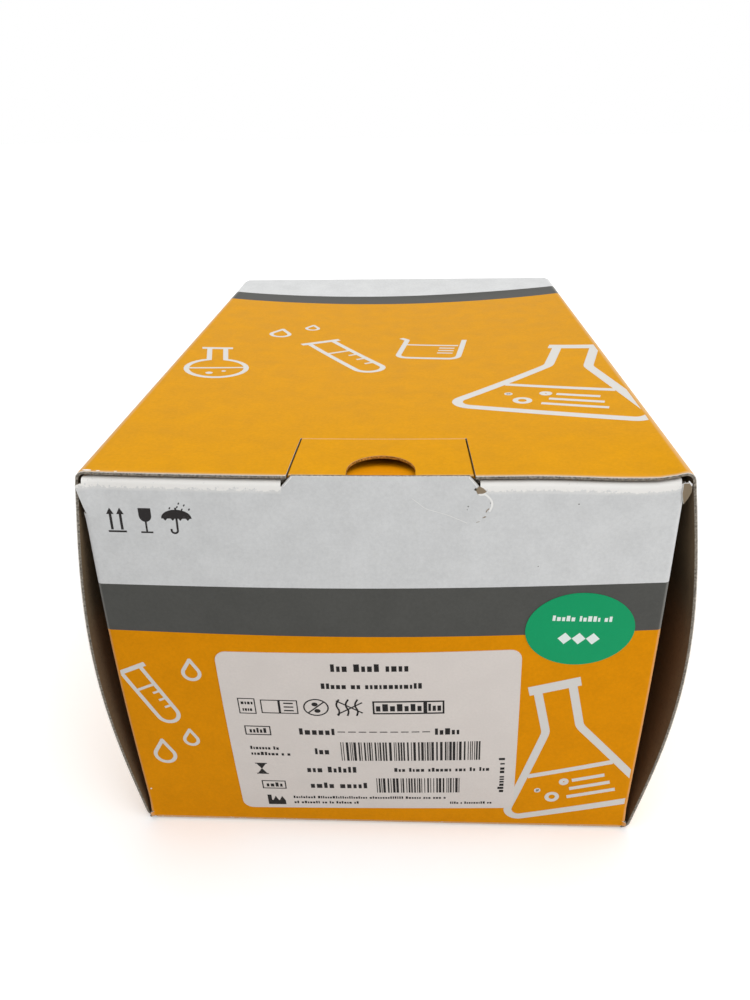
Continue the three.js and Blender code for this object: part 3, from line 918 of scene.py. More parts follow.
@dataclass
class ClosingPanel(Piece):
    """The front closing panel with its two ears, its tuck flap and its tongue.

    Args:
        finishes: One finish for each skin, in the order of Skin.
        free: Height of the unfolded corner above the left ear.
        foot: Z where the ears begin, above the unfolded lower corners.
        forward: How far the unfolded corners stand in front of the walls' raw edges.
        ear: Length of the ears from the panel's face.
        ear_relief: How far the ears' edges step in behind the fold.
        tuck: Length of the tuck flap beyond its fold.
        join: How far behind the panel's face the tuck flap closes behind the tongue.
        tongue_root: Half the tongue's width at its root.
        tongue_top: Half its width at its end.
        tongue_gap: Width of the slot beside the tongue.
        band_left: Z of the printed band's lower and upper edges at the left.
        band_right: The same at the right.
    """

    finishes: list[Finish]
    free: float = 8.5
    foot: float = 3.4
    forward: float = 0.75
    ear: float = 24.0
    ear_relief: float = 1.6
    tuck: float = 27.0
    join: float = 3.7
    tongue_root: float = 23.0
    tongue_top: float = 20.75
    tongue_gap: float = 0.3
    band_left: Pair = (71.1, 85.5)
    band_right: Pair = (73.0, 87.3)

    def __post_init__(self) -> None:
        """Works out where the flat panel begins and ends."""
        self.flat = self.layout.panel_flat
        self.tuck_top = self.layout.top - BOARD - 0.7
        self.high = self.tuck_top - FLAP_FOLD
        self.low = FLAP_FOLD + CREASE

    def build(self) -> None:
        """Makes the closing panel."""
        lay = self.layout
        middle = (0, lay.front, (self.high + self.low) / 2)
        panel = Workpiece("closing_panel", middle, (2 * self.flat, self.high - self.low), upright=True)
        self._cut_zone_lines(panel)
        self._free_corners(panel)
        self._ears(panel)
        self._tongue(panel)
        self._tuck_flap(panel)
        self._cut_rub_lines(panel)
        panel.grid(GRID, (X, -lay.side, lay.side), (Y, lay.front, lay.front + 32), (Z, 0, lay.top))
        panel.make_board(self.finishes, self._wear)
        panel.paint(self._field)
        panel.bow(*self.bow.of_panel(), ("Y", -self.forward, self._pull))
        panel.finish("closure", "printed_board", "front_closure")

    def _cut_zone_lines(self, panel: Workpiece) -> None:
        """Divides the panel along the printed fields and where its flaps begin.

        Args:
            panel: The board that is folded.
        """
        for left, right in zip(self.band_left, self.band_right):
            bpy.ops.mesh.select_all(action="SELECT")
            panel.slit((-self.flat, 0, left), (left - right, 0, 2 * self.flat))
        root, slot = self.tongue_root, self.tongue_root + self.tongue_gap
        panel.cut(Z, self.foot, self.high - self.free)
        panel.cut(X, -root, root, -slot, slot)

    def _cut_rub_lines(self, panel: Workpiece) -> None:
        """Divides the panel's face beside its folds, where the rubbed bands end.

        Args:
            panel: The board that is folded.
        """
        face: Test = lambda p: p.y < self.layout.front + 0.01 and abs(p.x) < self.flat + 0.01
        panel.cut(Z, self.high - 1.0, self.high - 2.2, faces=face)
        panel.cut(X, self.flat - 0.8, 0.8 - self.flat, faces=face)

    def _free_corners(self, panel: Workpiece) -> None:
        """Runs out the corners beyond the ears' ends, which stay unfolded in front of the walls.

        Args:
            panel: The board that is folded.
        """
        high, level = self.high, self.high - self.free
        lower = ((self.low, 0.6, 0.3), (self.foot, 0.5, -0.3))
        for hand, low, top, reach, moves in (
            (-1, level, high, 1.7, ((level, 1.5, 0.0), (high, 0.0, -0.7))),
            (-1, self.low, self.foot, 1.8, lower),
            (1, self.low, self.foot, 1.9, lower),
        ):
            panel.pick(Pick.EDGES, lambda p: p.x * hand > self.flat - 0.1 and low - 0.05 < p.z < top + 0.05)
            panel.run(dx=hand * reach)
            for z, back, rise in moves:
                panel.move(lambda p: p.x * hand > self.flat + 1 and near(p.z, z), dx=-hand * back, dz=rise)

    def _ears(self, panel: Workpiece) -> None:
        """Folds the two ears inwards.

        Args:
            panel: The board that is folded.
        """
        front, flat, relief = self.layout.front, self.flat, self.ear_relief
        root = front + FLAP_FOLD + 0.4
        for hand, crest in ((-1, self.high - self.free), (1, self.high)):
            at_fold: Test = lambda p: near(p.x * hand, flat, 0.1) and self.foot - 0.1 < p.z < crest + 0.05
            panel.pick(Pick.EDGES, at_fold)
            panel.fold((hand * flat, front + FLAP_FOLD, 0), Z, 90 * hand)
            panel.run(dy=root - front - FLAP_FOLD)
            at_root: Test = lambda p: near(p.y, root) and p.x * hand > flat
            panel.move(lambda p: at_root(p) and p.z > crest - 0.1, dz=-relief)
            panel.move(lambda p: at_root(p) and p.z < self.foot + 0.1, dz=relief)
            panel.pick(Pick.EDGES, at_root)
            panel.run(dy=front + self.ear - root)
            at_end: Test = lambda p: near(p.y, front + self.ear) and p.x * hand > 0
            upper, lower, slant = crest - relief, self.foot + relief, 3.0
            panel.move(lambda p: at_end(p) and p.z > upper - 0.1, dz=-slant)
            panel.move(lambda p: at_end(p) and p.z < lower + 0.1, dz=slant)
            panel.round_corner(lambda p: at_end(p) and p.z > upper - slant - 0.1, 8, 5)
            panel.round_corner(lambda p: at_end(p) and p.z < lower + slant + 0.1, 8, 5)

    def _tongue(self, panel: Workpiece) -> None:
        """Runs the tongue up in front of the thumb tab.

        Args:
            panel: The board that is folded.
        """
        panel.pick(Pick.EDGES, lambda p: p.z > self.high - 0.01 and abs(p.x) < self.tongue_root + 0.05)
        panel.run(dz=0.2)
        panel.run(dz=self.layout.top - self.high - 0.2)
        panel.stretch((self.tongue_top / self.tongue_root, 1, 1), (0, 0, 0))

    def _tuck_flap(self, panel: Workpiece) -> None:
        """Folds the tuck flap back on both sides of the tongue and joins it behind it.

        Args:
            panel: The board that is folded.
        """
        flat, fold = self.flat, self.layout.front + FLAP_FOLD
        join = self.layout.front + self.join
        slope = math.asin((FLAP_FOLD + self.tuck) / 2 / (self.tuck_top - FLAP_FOLD))
        along = Vector((0, math.cos(slope), -math.sin(slope)))
        first = (join - fold + FLAP_FOLD * along.z) / along.y
        end = fold - FLAP_FOLD * along.z + self.tuck * along.y
        slot, step = self.tongue_root + self.tongue_gap, self.tongue_root - self.tongue_top
        for hand in (-1, 1):
            beside: Test = lambda p: p.x * hand > slot - 0.05 and abs(p.x) < flat + 0.01
            at_crest: Test = lambda p: near(p.z, self.high, 0.01) and p.y < fold - 1
            panel.pick(Pick.EDGES, lambda p: beside(p) and at_crest(p))
            panel.fold((0, fold, self.high), X, -90 - math.degrees(slope), 5)
            panel.run(*(along * first))
            on_slope: Test = lambda p: 0 < p.x * hand < flat + 0.01 and p.z > self.high - 0.3
            at_join: Test = lambda p: near(p.y, join) and on_slope(p)
            panel.move(lambda p: at_join(p) and p.x * hand < slot + 0.15, dx=-hand * step)
            panel.pick(Pick.EDGES, at_join)
            panel.run(*(along * (self.tuck - first)))
            at_end: Test = lambda p: near(p.y, end) and p.x * hand > flat - 1.6
            panel.move(lambda p: at_end(p) and p.x * hand > flat - 0.1, dx=-hand * 1.5)
            panel.round_corner(at_end, 11, 7)
        inner: Test = lambda p: near(abs(p.x), slot - step) and p.y > join - 0.1
        panel.pick(Pick.EDGES, lambda p: inner(p) and p.z > self.high - 6)
        bpy.ops.mesh.bridge_edge_loops()
        panel.weld(1e-3)

    def _field(self, p: Vector) -> Skin:
        """Printed field of the flat board.

        Args:
            p: Where on the board.

        Returns:
            The field.
        """
        lay, flat = self.layout, self.flat
        if p.y > lay.front + FLAP_FOLD + 0.1 and p.z > lay.top - 7 and abs(p.x) < flat + 0.05:
            return Skin.ORANGE
        return field_at(p.z, self.band_left, self.band_right, clamp((p.x + flat) / (2 * flat)))

    def _wear(self, p: Vector) -> float:
        """Wear of the printed side: strongest along the tuck fold, then the side and bottom folds.

        Args:
            p: Where on the flat board.

        Returns:
            The wear, from 0 to 1.
        """
        back = p.y - self.layout.front
        if back > 4:
            return 0.0
        tuck = 1 - smooth(math.hypot(back, self.tuck_top - p.z), 1.7, 3.2)
        sides = 1 - smooth(math.hypot(back, self.layout.panel_half - abs(p.x)), 0.2, 1.3)
        bottom = 1 - smooth(math.hypot(back, p.z), 0.6, 1.8)
        return max(tuck if abs(p.x) > self.tongue_root + 0.1 else 0.0, 0.46 * max(sides, bottom))

    def _pull(self, p: Vector) -> float:
        """Pull forwards at the unfolded corners, which stand in front of the walls.

        Args:
            p: Where on the flat board.

        Returns:
            The share of the pull.
        """
        upper = smooth(-p.x, 68.7, 71) * smooth(p.z, 102, 109)
        lower = smooth(abs(p.x), 69, 71) * (1 - smooth(p.z, self.foot, 7))
        return max(upper, lower) * (1 - smooth(p.y - self.layout.front, 0.9, 3))


@dataclass
class ThumbTab(Piece):
    """The tab of the top panel that is pressed down over the tuck flap, with its thumb notch.

    Args:
        finishes: One finish for each skin, in the order of Skin.
        notch_radius: Radius of the half-round notch.
        notch_centre: How far its centre lies behind the carton's front.
        press: How far the tab's free edge is pressed below the top panel.
        reach: How far behind the carton's front the tab is no longer pressed.
    """

    finishes: list[Finish]
    notch_radius: float = 8.2
    notch_centre: float = 4.3
    press: float = 0.4
    reach: float = 23.0

    def build(self) -> None:
        """Makes the thumb tab."""
        lay = self.layout
        cutter = self._cutter()
        middle = (0, (lay.tab_front + lay.tab_rear) / 2, lay.top)
        tab = Workpiece("thumb_tab_board", middle, (2 * lay.tab_half, lay.tab_rear - lay.tab_front))
        tab.pick(Pick.EDGES, lambda p: p.y > lay.tab_rear - 0.1)
        tab.stretch((1 - lay.tab_taper / lay.tab_half, 1, 1), middle)
        tab.cut(Y, lay.tab_front + 0.8, lay.tab_rear - 0.5)
        tab.grid(GRID / 2, (X, -lay.side, lay.side), (Y, lay.tab_front, lay.tab_rear))
        tab.make_board(self.finishes, self._wear)
        tab.modify(
            "BOOLEAN", operation="DIFFERENCE", object=cutter, solver="EXACT", material_mode="TRANSFER"
        )
        bpy.data.objects.remove(cutter)
        tab.mark_skin()
        pressed: Share = lambda p: clamp(1 - (p.y - lay.front) / self.reach)
        tab.bow(self.bow.of_top(), ("Z", -self.press, pressed))
        tab.finish("tab", "printed_board", "thumb_tab")

    def _cutter(self) -> bpy.types.Object:
        """Makes the round-ended block that the notch is cut with.

        Returns:
            The block.
        """
        r, centre, height = self.notch_radius, self.layout.front + self.notch_centre, 8
        block = Workpiece("notch_cutter", (0, centre - 4, self.layout.top - height / 2), (2 * r, 8))
        block.pick(Pick.EDGES, lambda p: p.y > centre - 0.1)
        block.run(dy=r)
        block.round_corner(lambda p: p.y > centre + r - 0.1, r - 0.002, 16)
        block.weld(0.01)
        bpy.ops.mesh.select_all(action="SELECT")
        block.run(dz=height)
        bpy.ops.mesh.select_all(action="SELECT")
        bpy.ops.mesh.normals_make_consistent(inside=False)
        block.dress(self.finishes)
        for face in block.item.data.polygons:
            face.material_index = Skin.RAW_EDGE.value
        return block.item

    def _wear(self, p: Vector) -> float:
        """Wear along the tab's free edge and its crease."""
        return max(0.0, 0.5 - 0.5 * (p.y - self.layout.tab_front), 0.34 - 0.6 * (self.layout.tab_rear - p.y))


@dataclass
class Creases(Piece):
    """The two short stretches of open board that bend when the panel and the tab swing.

    Args:
        panel_finishes: One finish for each skin of the closing panel, in the order of Skin.
        tube_finishes: The same for the tube and its tab.
    """

    panel_finishes: list[Finish]
    tube_finishes: list[Finish]

    def build(self) -> None:
        """Makes the crease under the closing panel and the one behind the thumb tab."""
        lay, bow = self.layout, self.bow
        low, high, half = FLAP_FOLD, FLAP_FOLD + CREASE, lay.panel_flat
        under = Workpiece("front_crease", (0, lay.front, (low + high) / 2), (2 * half, CREASE), upright=True)
        under.grid(GRID, (X, -half, half))
        swells: Share = lambda p: bow.bulge(p) if p.z > high - 0.05 else 0.0
        item = self._finish(under, self.panel_finishes, 0.46, ("Y", -bow.front_panel, swells))
        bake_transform(item)
        close, far, half = lay.tab_rear, lay.tab_rear + CREASE, lay.tab_half - lay.tab_taper
        behind = Workpiece("tab_crease", (0, (close + far) / 2, lay.top), (2 * half, CREASE))
        behind.grid(GRID / 2, (X, -half, half))
        item = self._finish(behind, self.tube_finishes, 0.34, bow.of_top())
        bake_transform(item)

    def _finish(
        self, crease: Workpiece, finishes: list[Finish], wear: float, bend: Bend
    ) -> bpy.types.Object:
        """Gives a crease its finishes, wear, thickness and bow.

        Args:
            crease: The flat crease.
            finishes: One finish for each skin.
            wear: How worn it is.
            bend: How it is bowed.

        Returns:
            The finished crease.
        """
        crease.make_board(finishes, lambda p: wear)
        crease.mark_skin()
        crease.bow(bend)
        return crease.finish("", "printed_board")


# ---------------------------------------------------------------- stickers and print


@dataclass
class PaperSticker(Piece):
    """A paper sticker on the closing panel, with what is printed on it.

    Args:
        paper: Its paper.
        ink: Its print.
        centre: X and Z of its middle.
        size: Its width and height.
        degrees: Its turn, anticlockwise as seen from the front.
        thickness: Thickness of the paper.
        gap: Film of air between the board and the paper.
        film: How far the print lies in front of the paper.
    """

    paper: Finish
    ink: Finish
    centre: Pair
    size: Pair
    degrees: float
    thickness: float = 0.12
    gap: float = 0.03
    film: float = 0.015

    def _fix_sheet(self, sheet: Artwork, slot: str, stands_for: str) -> None:
        """Gives the sheet its thickness and lays it on the panel.

        Args:
            sheet: The flat sheet.
            slot: Its slot.
            stands_for: The node that it replaces.
        """
        self._lay(sheet, self.gap + self.thickness)
        sheet.dress([self.paper])
        sheet.modify("SOLIDIFY", thickness=self.thickness, offset=-1)
        sheet.bow(*self.bow.of_panel())
        sheet.finish("closure", slot, stands_for)

    def _fix_print(self, art: Artwork, slot: str) -> None:
        """Lays the print on the sheet.

        Args:
            art: The flat print.
            slot: Its slot.
        """
        self._lay(art, self.gap + self.film + self.thickness)
        art.dress([self.ink])
        art.bow(*self.bow.of_panel())
        art.finish("closure", slot)

    def _lay(self, art: Artwork, lift: float) -> None:
        """Lays flat artwork on the panel, lifted off the board, and divides it to bow.

        Args:
            art: The flat artwork.
            lift: How far it is lifted.
        """
        lay = self.layout
        art.lay((self.centre[0], lay.front - lift, self.centre[1]), self.degrees, upright=True)
        art.grid(GRID, (X, -lay.side, lay.side), (Z, 0, lay.top))


@dataclass
class DataLabel(PaperSticker):
    """The rectangular paper label with its greeked data print."""

    def build(self) -> None:
        """Makes the label and its print."""
        sheet = Artwork("data_label")
        sheet.bar(0, 0, *self.size)
        sheet.round_corner(lambda p: True, 3, 6)
        self._fix_sheet(sheet, "label_paper", "info_label")
        art = Artwork("data_label_print")
        self._text(art)
        self._symbols(art, 11.4)
        self._signs(art)
        self._fix_print(art, "label_paper")

    def _text(self, art: Artwork) -> None:
        """Draws rows of blocks, each from (u, v) with its length, height and rhythm.

        Args:
            art: The sheet that it is drawn on.
        """
        for row in (
            (-9.8, 23.8, 20.3, 2.5, 3), (-12.7, 18.0, 26.6, 1.9, 5),
            (-33.7, 1.5, 4.6, 1.8, 8), (-20.0, 1.2, 9.7, 2.4, 13), (17.2, 1.2, 6.6, 2.4, 21),
            (-34.4, -5.0, 8.0, 1.3, 34), (-34.4, -7.3, 11.0, 1.3, 55), (-16.3, -6.5, 3.9, 2.4, 89),
            (-19.2, -14.0, 14.0, 2.4, 144), (5.6, -13.6, 26.7, 1.6, 233),
            (-31.7, -20.5, 4.6, 1.8, 377), (-18.8, -20.8, 16.3, 2.4, 610),
            (-24.4, -25.5, 44.5, 1.1, 987), (-24.4, -27.8, 19.0, 1.1, 1597), (21.4, -27.8, 12.0, 1.0, 2584),
        ):
            art.words(*row)
        first = art.count()
        art.words(36.6, -22.8, 14.3, 1.7, 4181)
        art.tilt(first, 90, 36.6, -22.8)

    def _signs(self, art: Artwork) -> None:
        """Draws the boxes, the dashes, the bar codes and the two signs at the left.

        Args:
            art: The sheet that it is drawn on.
        """
        for v in (2.4, -19.6):
            art.frame_box(-31.4 if v > 0 else -29.5, v, 7.2 if v > 0 else 7.0, 3.5, 0.35)
        for k in range(9):
            art.bar(-8.4 + 2.9 * k, 2.4, 2.1, 0.32)
        art.bar_code(-9.0, -9.0, 39.0, 7.4, 4)
        art.bar_code(0.3, -22.7, 24.2, 6.3, 6)
        for hand in (-1, 1):
            art.wedge(-32.2, -12.8 - 1.9 * hand, 2.6, 2.0, 90 - 90 * hand)
            art.bar(-32.2, -12.8 - 2.1 * hand, 3.4, 0.35)
        art.bar(-29.5, -27.4, 5.2, 1.9)
        art.bar(-31.5, -25.6, 1.2, 3.0)
        for k in range(2):
            art.wedge(-29.7 + 1.9 * k, -26.5, 1.7, 1.9)

    def _symbols(self, art: Artwork, v: float) -> None:
        """Draws the row of small line symbols at a height.

        Args:
            art: The sheet that it is drawn on.
            v: The height.
        """
        for u, width, height, line in (
            (-33.25, 4.7, 5.6, 0.3), (-27.0, 5.0, 4.9, 0.32), (-22.0, 5.0, 4.9, 0.32),
            (7.65, 14.1, 4.7, 0.5), (17.25, 5.1, 4.7, 0.5),
        ):
            art.frame_box(u, v, width, height, line)
        for u, rise, length, height, seed in (
            (-34.8, 0.6, 3.2, 1.3, 2), (-34.6, -1.8, 2.6, 1.3, 4),
            (1.5, -1.3, 12.2, 2.6, 17), (15.5, -1.3, 3.4, 2.6, 18),
        ):
            art.words(u, v + rise, length, height, seed)
        art.ring(-14.6, v, 6.9, 6.1, 0.4)
        art.bar(-14.6, v, 6.2, 0.4, 42)
        for hand, level in ((-1, 1.1), (1, -1.2)):
            art.disc(-14.6 + 0.3 * hand, v + level, 1.7, 1.4, 12)
            art.bar(-5.6, v - 0.3 * hand, 8.2, 0.4, 32 * hand)
        for k in range(3):
            art.bar(-22.0, v + 1.3 - 1.3 * k, 2.6, 0.45)
            art.stroke(-8.8 + 2.5 * k, v - 2.9, 70, 0.5, 0.7, (2.4, 50), (2.4, -60), 0.9)


@dataclass
class OvalSticker(PaperSticker):
    """The oval sticker with a row of white print."""

    def build(self) -> None:
        """Makes the sticker and its print."""
        sheet = Artwork("oval_label")
        sheet.disc(0, 0, *self.size, 72)
        self._fix_sheet(sheet, "green_paper", "oval_sticker")
        art = Artwork("oval_label_print")
        art.words(-7.4, 2.6, 15.0, 1.6, 11)
        for k in range(3):
            art.bar(3.6 * k - 3.6, -2.7, 2.5, 2.5, 45)
        self._fix_print(art, "green_paper")


class LineDrawing(Artwork):
    """Glassware drawn in line."""

    def drop(self, u: float, v: float, radius: float, line: float) -> None:
        """Draws a drop with its point up."""
        side = radius * 1.9
        self.stroke(u, v + 2.15 * radius, 240, line, side, (radius, 240), side)

    def tube(self, u: float, v: float, heading: float, width: float, length: float, line: float) -> None:
        """Draws a test tube.

        Args:
            u: Left end of its lip.
            v: Left end of its lip.
            heading: Direction in degrees that it points in.
            width: Its width.
            length: Length of its straight part.
            line: Width of the line.
        """
        self.stroke(u, v, heading, line, length, (width / 2, -180), length)
        ahead = direction(heading).xy
        across = Vector((ahead.y, -ahead.x)) * width
        lip = Vector((u, v)) + across / 2
        self.bar(*lip, width + 3.0 * line, 1.2 * line, heading - 90)
        self.bar(*(lip + ahead * length * 0.4), width - line, 0.7 * line, heading - 90)
        for k in range(3):
            mark = lip + ahead * length * (0.55 + 0.16 * k) - across * 0.27
            self.bar(*mark, width * 0.3, 0.6 * line, heading - 90)

    def beaker(self, u: float, v: float, width: float, height: float, line: float, lean: float) -> None:
        """Draws a beaker with its spout and marks.

        Args:
            u: Middle of its rim.
            v: Middle of its rim.
            width: Its width.
            height: Its height.
            line: Width of the line.
            lean: Its turn about the middle of its rim.
        """
        first = self.count()
        half, corner = width / 2, 0.16 * width
        spout, wall = (0.14 * width, (0.05 * width, -50)), height - corner
        bend = (corner, 90)
        self.stroke(
            u - half - 0.1 * width, v, -40, line,
            *spout, wall - 0.1 * width, bend, width - 2 * corner, bend, wall,
        )
        self.bar(u, v - 0.34 * height, width - line, 0.7 * line)
        for k in range(3):
            self.bar(u + 0.28 * width, v - (0.48 + 0.13 * k) * height, 0.26 * width, 0.6 * line)
        self.tilt(first, lean, u, v)

    def round_flask(self, u: float, v: float, width: float, line: float, lean: float) -> None:
        """Draws a round flask with a straight neck.

        Args:
            u: Where it stands.
            v: Where it stands.
            width: Its width.
            line: Width of the line.
            lean: Its turn about the place where it stands.
        """
        first = self.count()
        bulb, neck = width / 2, 0.13 * width
        start = math.degrees(math.asin(neck / bulb))
        top = v + bulb * (1 + math.cos(math.radians(start)))
        self.stroke(u - neck, top, 180 + start, line, (bulb - line / 2, 360 - 2 * start))
        for hand in (-1, 1):
            self.bar(u + hand * neck, top + 0.3 * width, line, 0.66 * width)
        self.bar(u, top + 0.63 * width, 2 * neck + 3.0 * line, 1.2 * line)
        self.bar(u, v + 0.55 * width, 0.88 * width, 0.7 * line)
        for across, up, size in ((-0.12, 0.3, 0.11), (0.1, 0.38, 0.07)):
            self.disc(u + across * width, v + up * width, size * width, size * width, 16)
        self.tilt(first, lean, u, v)

    def flask(self, u: float, v: float, lean: float, h: float, line: float) -> None:
        """Draws a conical flask, scaled to its height.

        Args:
            u: Where it stands.
            v: Where it stands.
            lean: Its turn about the place where it stands.
            h: Its height.
            line: Width of the line.
        """
        first = self.count()
        corner = 0.07 * h
        for heading, hand in ((0, 1), (180, -1)):
            side = ((corner, 118 * hand), 0.66 * h, (0.1 * h, -28 * hand), 0.3 * h)
            self.stroke(u, v, heading, line, 0.86 * h / 2 - corner, *side)
        self.bar(u, v + 1.05 * h, 0.3 * h, 1.3 * line)
        self.bar(u, v + 0.36 * h, 0.52 * h, 0.7 * line)
        for k in range(3):
            self.bar(u + 0.1 * h, v + (0.12 + 0.07 * k) * h, (0.3 - 0.05 * k) * h, 0.55 * line)
        for across, up, size in ((-0.14, 0.14, 0.09), (-0.05, 0.26, 0.06), (-0.22, 0.22, 0.04)):
            self.ring(u + across * h, v + up * h, size * h, size * h, 0.5 * line)
        self.tilt(first, lean, u, v)


@dataclass
class SurfaceMarks(Piece):
    """Flat marks on the closing panel and the top panel.

    Args:
        lift: How far they lie in front of the board.
    """

    lift: float

    def _on_front(self, art: Artwork, finish: Finish, printed: bool = False) -> None:
        """Lays marks drawn in X and Z on the closing panel.

        Args:
            art: The marks.
            finish: Their finish.
            printed: Whether they end at the panel's folds and bow finely with it.
        """
        lay, half = self.layout, self.layout.panel_flat
        art.lay((0, lay.front - self.lift, 0), upright=True)
        if printed:
            art.trim((half, 0, 0), X)
            art.trim((-half, 0, 0), (-1, 0, 0))
            art.trim((0, 0, 1.6), (0, 0, -1))
            art.grid(GRID, (X, -lay.side, lay.side), (Z, 0, lay.top))
        art.dress([finish])
        art.bow(*self.bow.of_panel())
        art.finish("closure", "printed_board")

    def _on_top(self, art: Artwork, finish: Finish, printed: bool = False) -> None:
        """Lays marks drawn in X and Y on the top panel.

        Args:
            art: The marks.
            finish: Their finish.
            printed: Whether they end at the tube's folds and bow finely with it.
        """
        lay, half = self.layout, self.layout.side - TUBE_FOLD
        art.lay((0, 0, lay.top + self.lift))
        if printed:
            art.trim((half, 0, 0), X)
            art.trim((-half, 0, 0), (-1, 0, 0))
            art.grid(GRID, (X, -lay.side, lay.side), (Y, lay.front, lay.back))
        art.dress([finish])
        art.bow(self.bow.of_top(), self.bow.of_dent())
        art.finish("carton", "printed_board")


@dataclass
class PanelPrint(SurfaceMarks):
    """Handling pictograms and line drawings printed on the closing panel and the top panel.

    Args:
        dark: Dark printing ink.
        white: White printing ink.
    """

    dark: Finish
    white: Finish

    def build(self) -> None:
        """Makes the three layers of print."""
        marks = Artwork("handling_marks")
        self._pictograms(marks)
        self._on_front(marks, self.dark, printed=True)
        front = LineDrawing("front_drawings")
        front.tube(-64.0, 59.5, -63, 6.0, 17.0, 1.15)
        for drop in ((-50.2, 58.0, 2.2, 1.0), (-62.0, 27.0, 2.8, 1.1), (-53.6, 33.5, 1.9, 0.95)):
            front.drop(*drop)
        front.flask(56.0, 8.5, 13, 46.0, 2.3)
        self._on_front(front, self.white, printed=True)
        over = LineDrawing("top_drawings")
        over.round_flask(-54.0, -36.0, 21.0, 1.7, 12)
        for drop in ((-42.0, 20.0, 3.4, 1.5), (-31.0, 30.0, 2.3, 1.2)):
            over.drop(*drop)
        over.tube(-22.0, 14.0, -58, 9.6, 36.0, 1.9)
        over.beaker(16.0, 16.0, 21.0, 24.0, 1.9, -9)
        over.flask(45.0, -66.0, -17, 62.0, 3.1)
        self._on_top(over, self.white, printed=True)

    def _pictograms(self, art: Artwork) -> None:
        """Draws two upward arrows, a goblet and an umbrella with drops.

        Args:
            art: The sheet that it is drawn on.
        """
        for u in (-64.3, -61.9):
            art.bar(u, 103.7, 0.62, 4.5)
            art.wedge(u, 105.7, 1.8, 1.8)
        art.bar(-63.1, 100.95, 4.4, 0.5)
        art.disc(-56.0, 105.4, 3.0, 3.4, 24)
        for v, width, height in ((106.4, 3.0, 2.2), (102.4, 0.45, 3.2), (100.85, 2.9, 0.45)):
            art.bar(-56.0, v, width, height)
        pole, rim, steps = -48.55, 104.7, 14
        arch = [math.pi * k / steps for k in range(steps + 1)]
        art.patch(*((pole + 3.65 * math.cos(a), rim + 2.5 * math.sin(a)) for a in arch))
        for k in range(4):
            art.wedge(pole - 2.7 + 1.8 * k, rim + 0.02, 1.0, 0.6, 180)
        art.bar(pole, rim + 2.6, 0.45, 0.9)
        art.stroke(pole, rim, 270, 0.5, 3.2, (0.75, -180), 0.4)
        for u, v in ((-1.35, 2.9), (0.45, 3.25), (0.9, 4.3), (2.15, 3.8), (1.55, 2.55), (3.25, 2.6)):
            art.disc(pole + u, rim + v, 0.36, 0.72, 10)
            art.turn(-24, pole + u, rim + v)


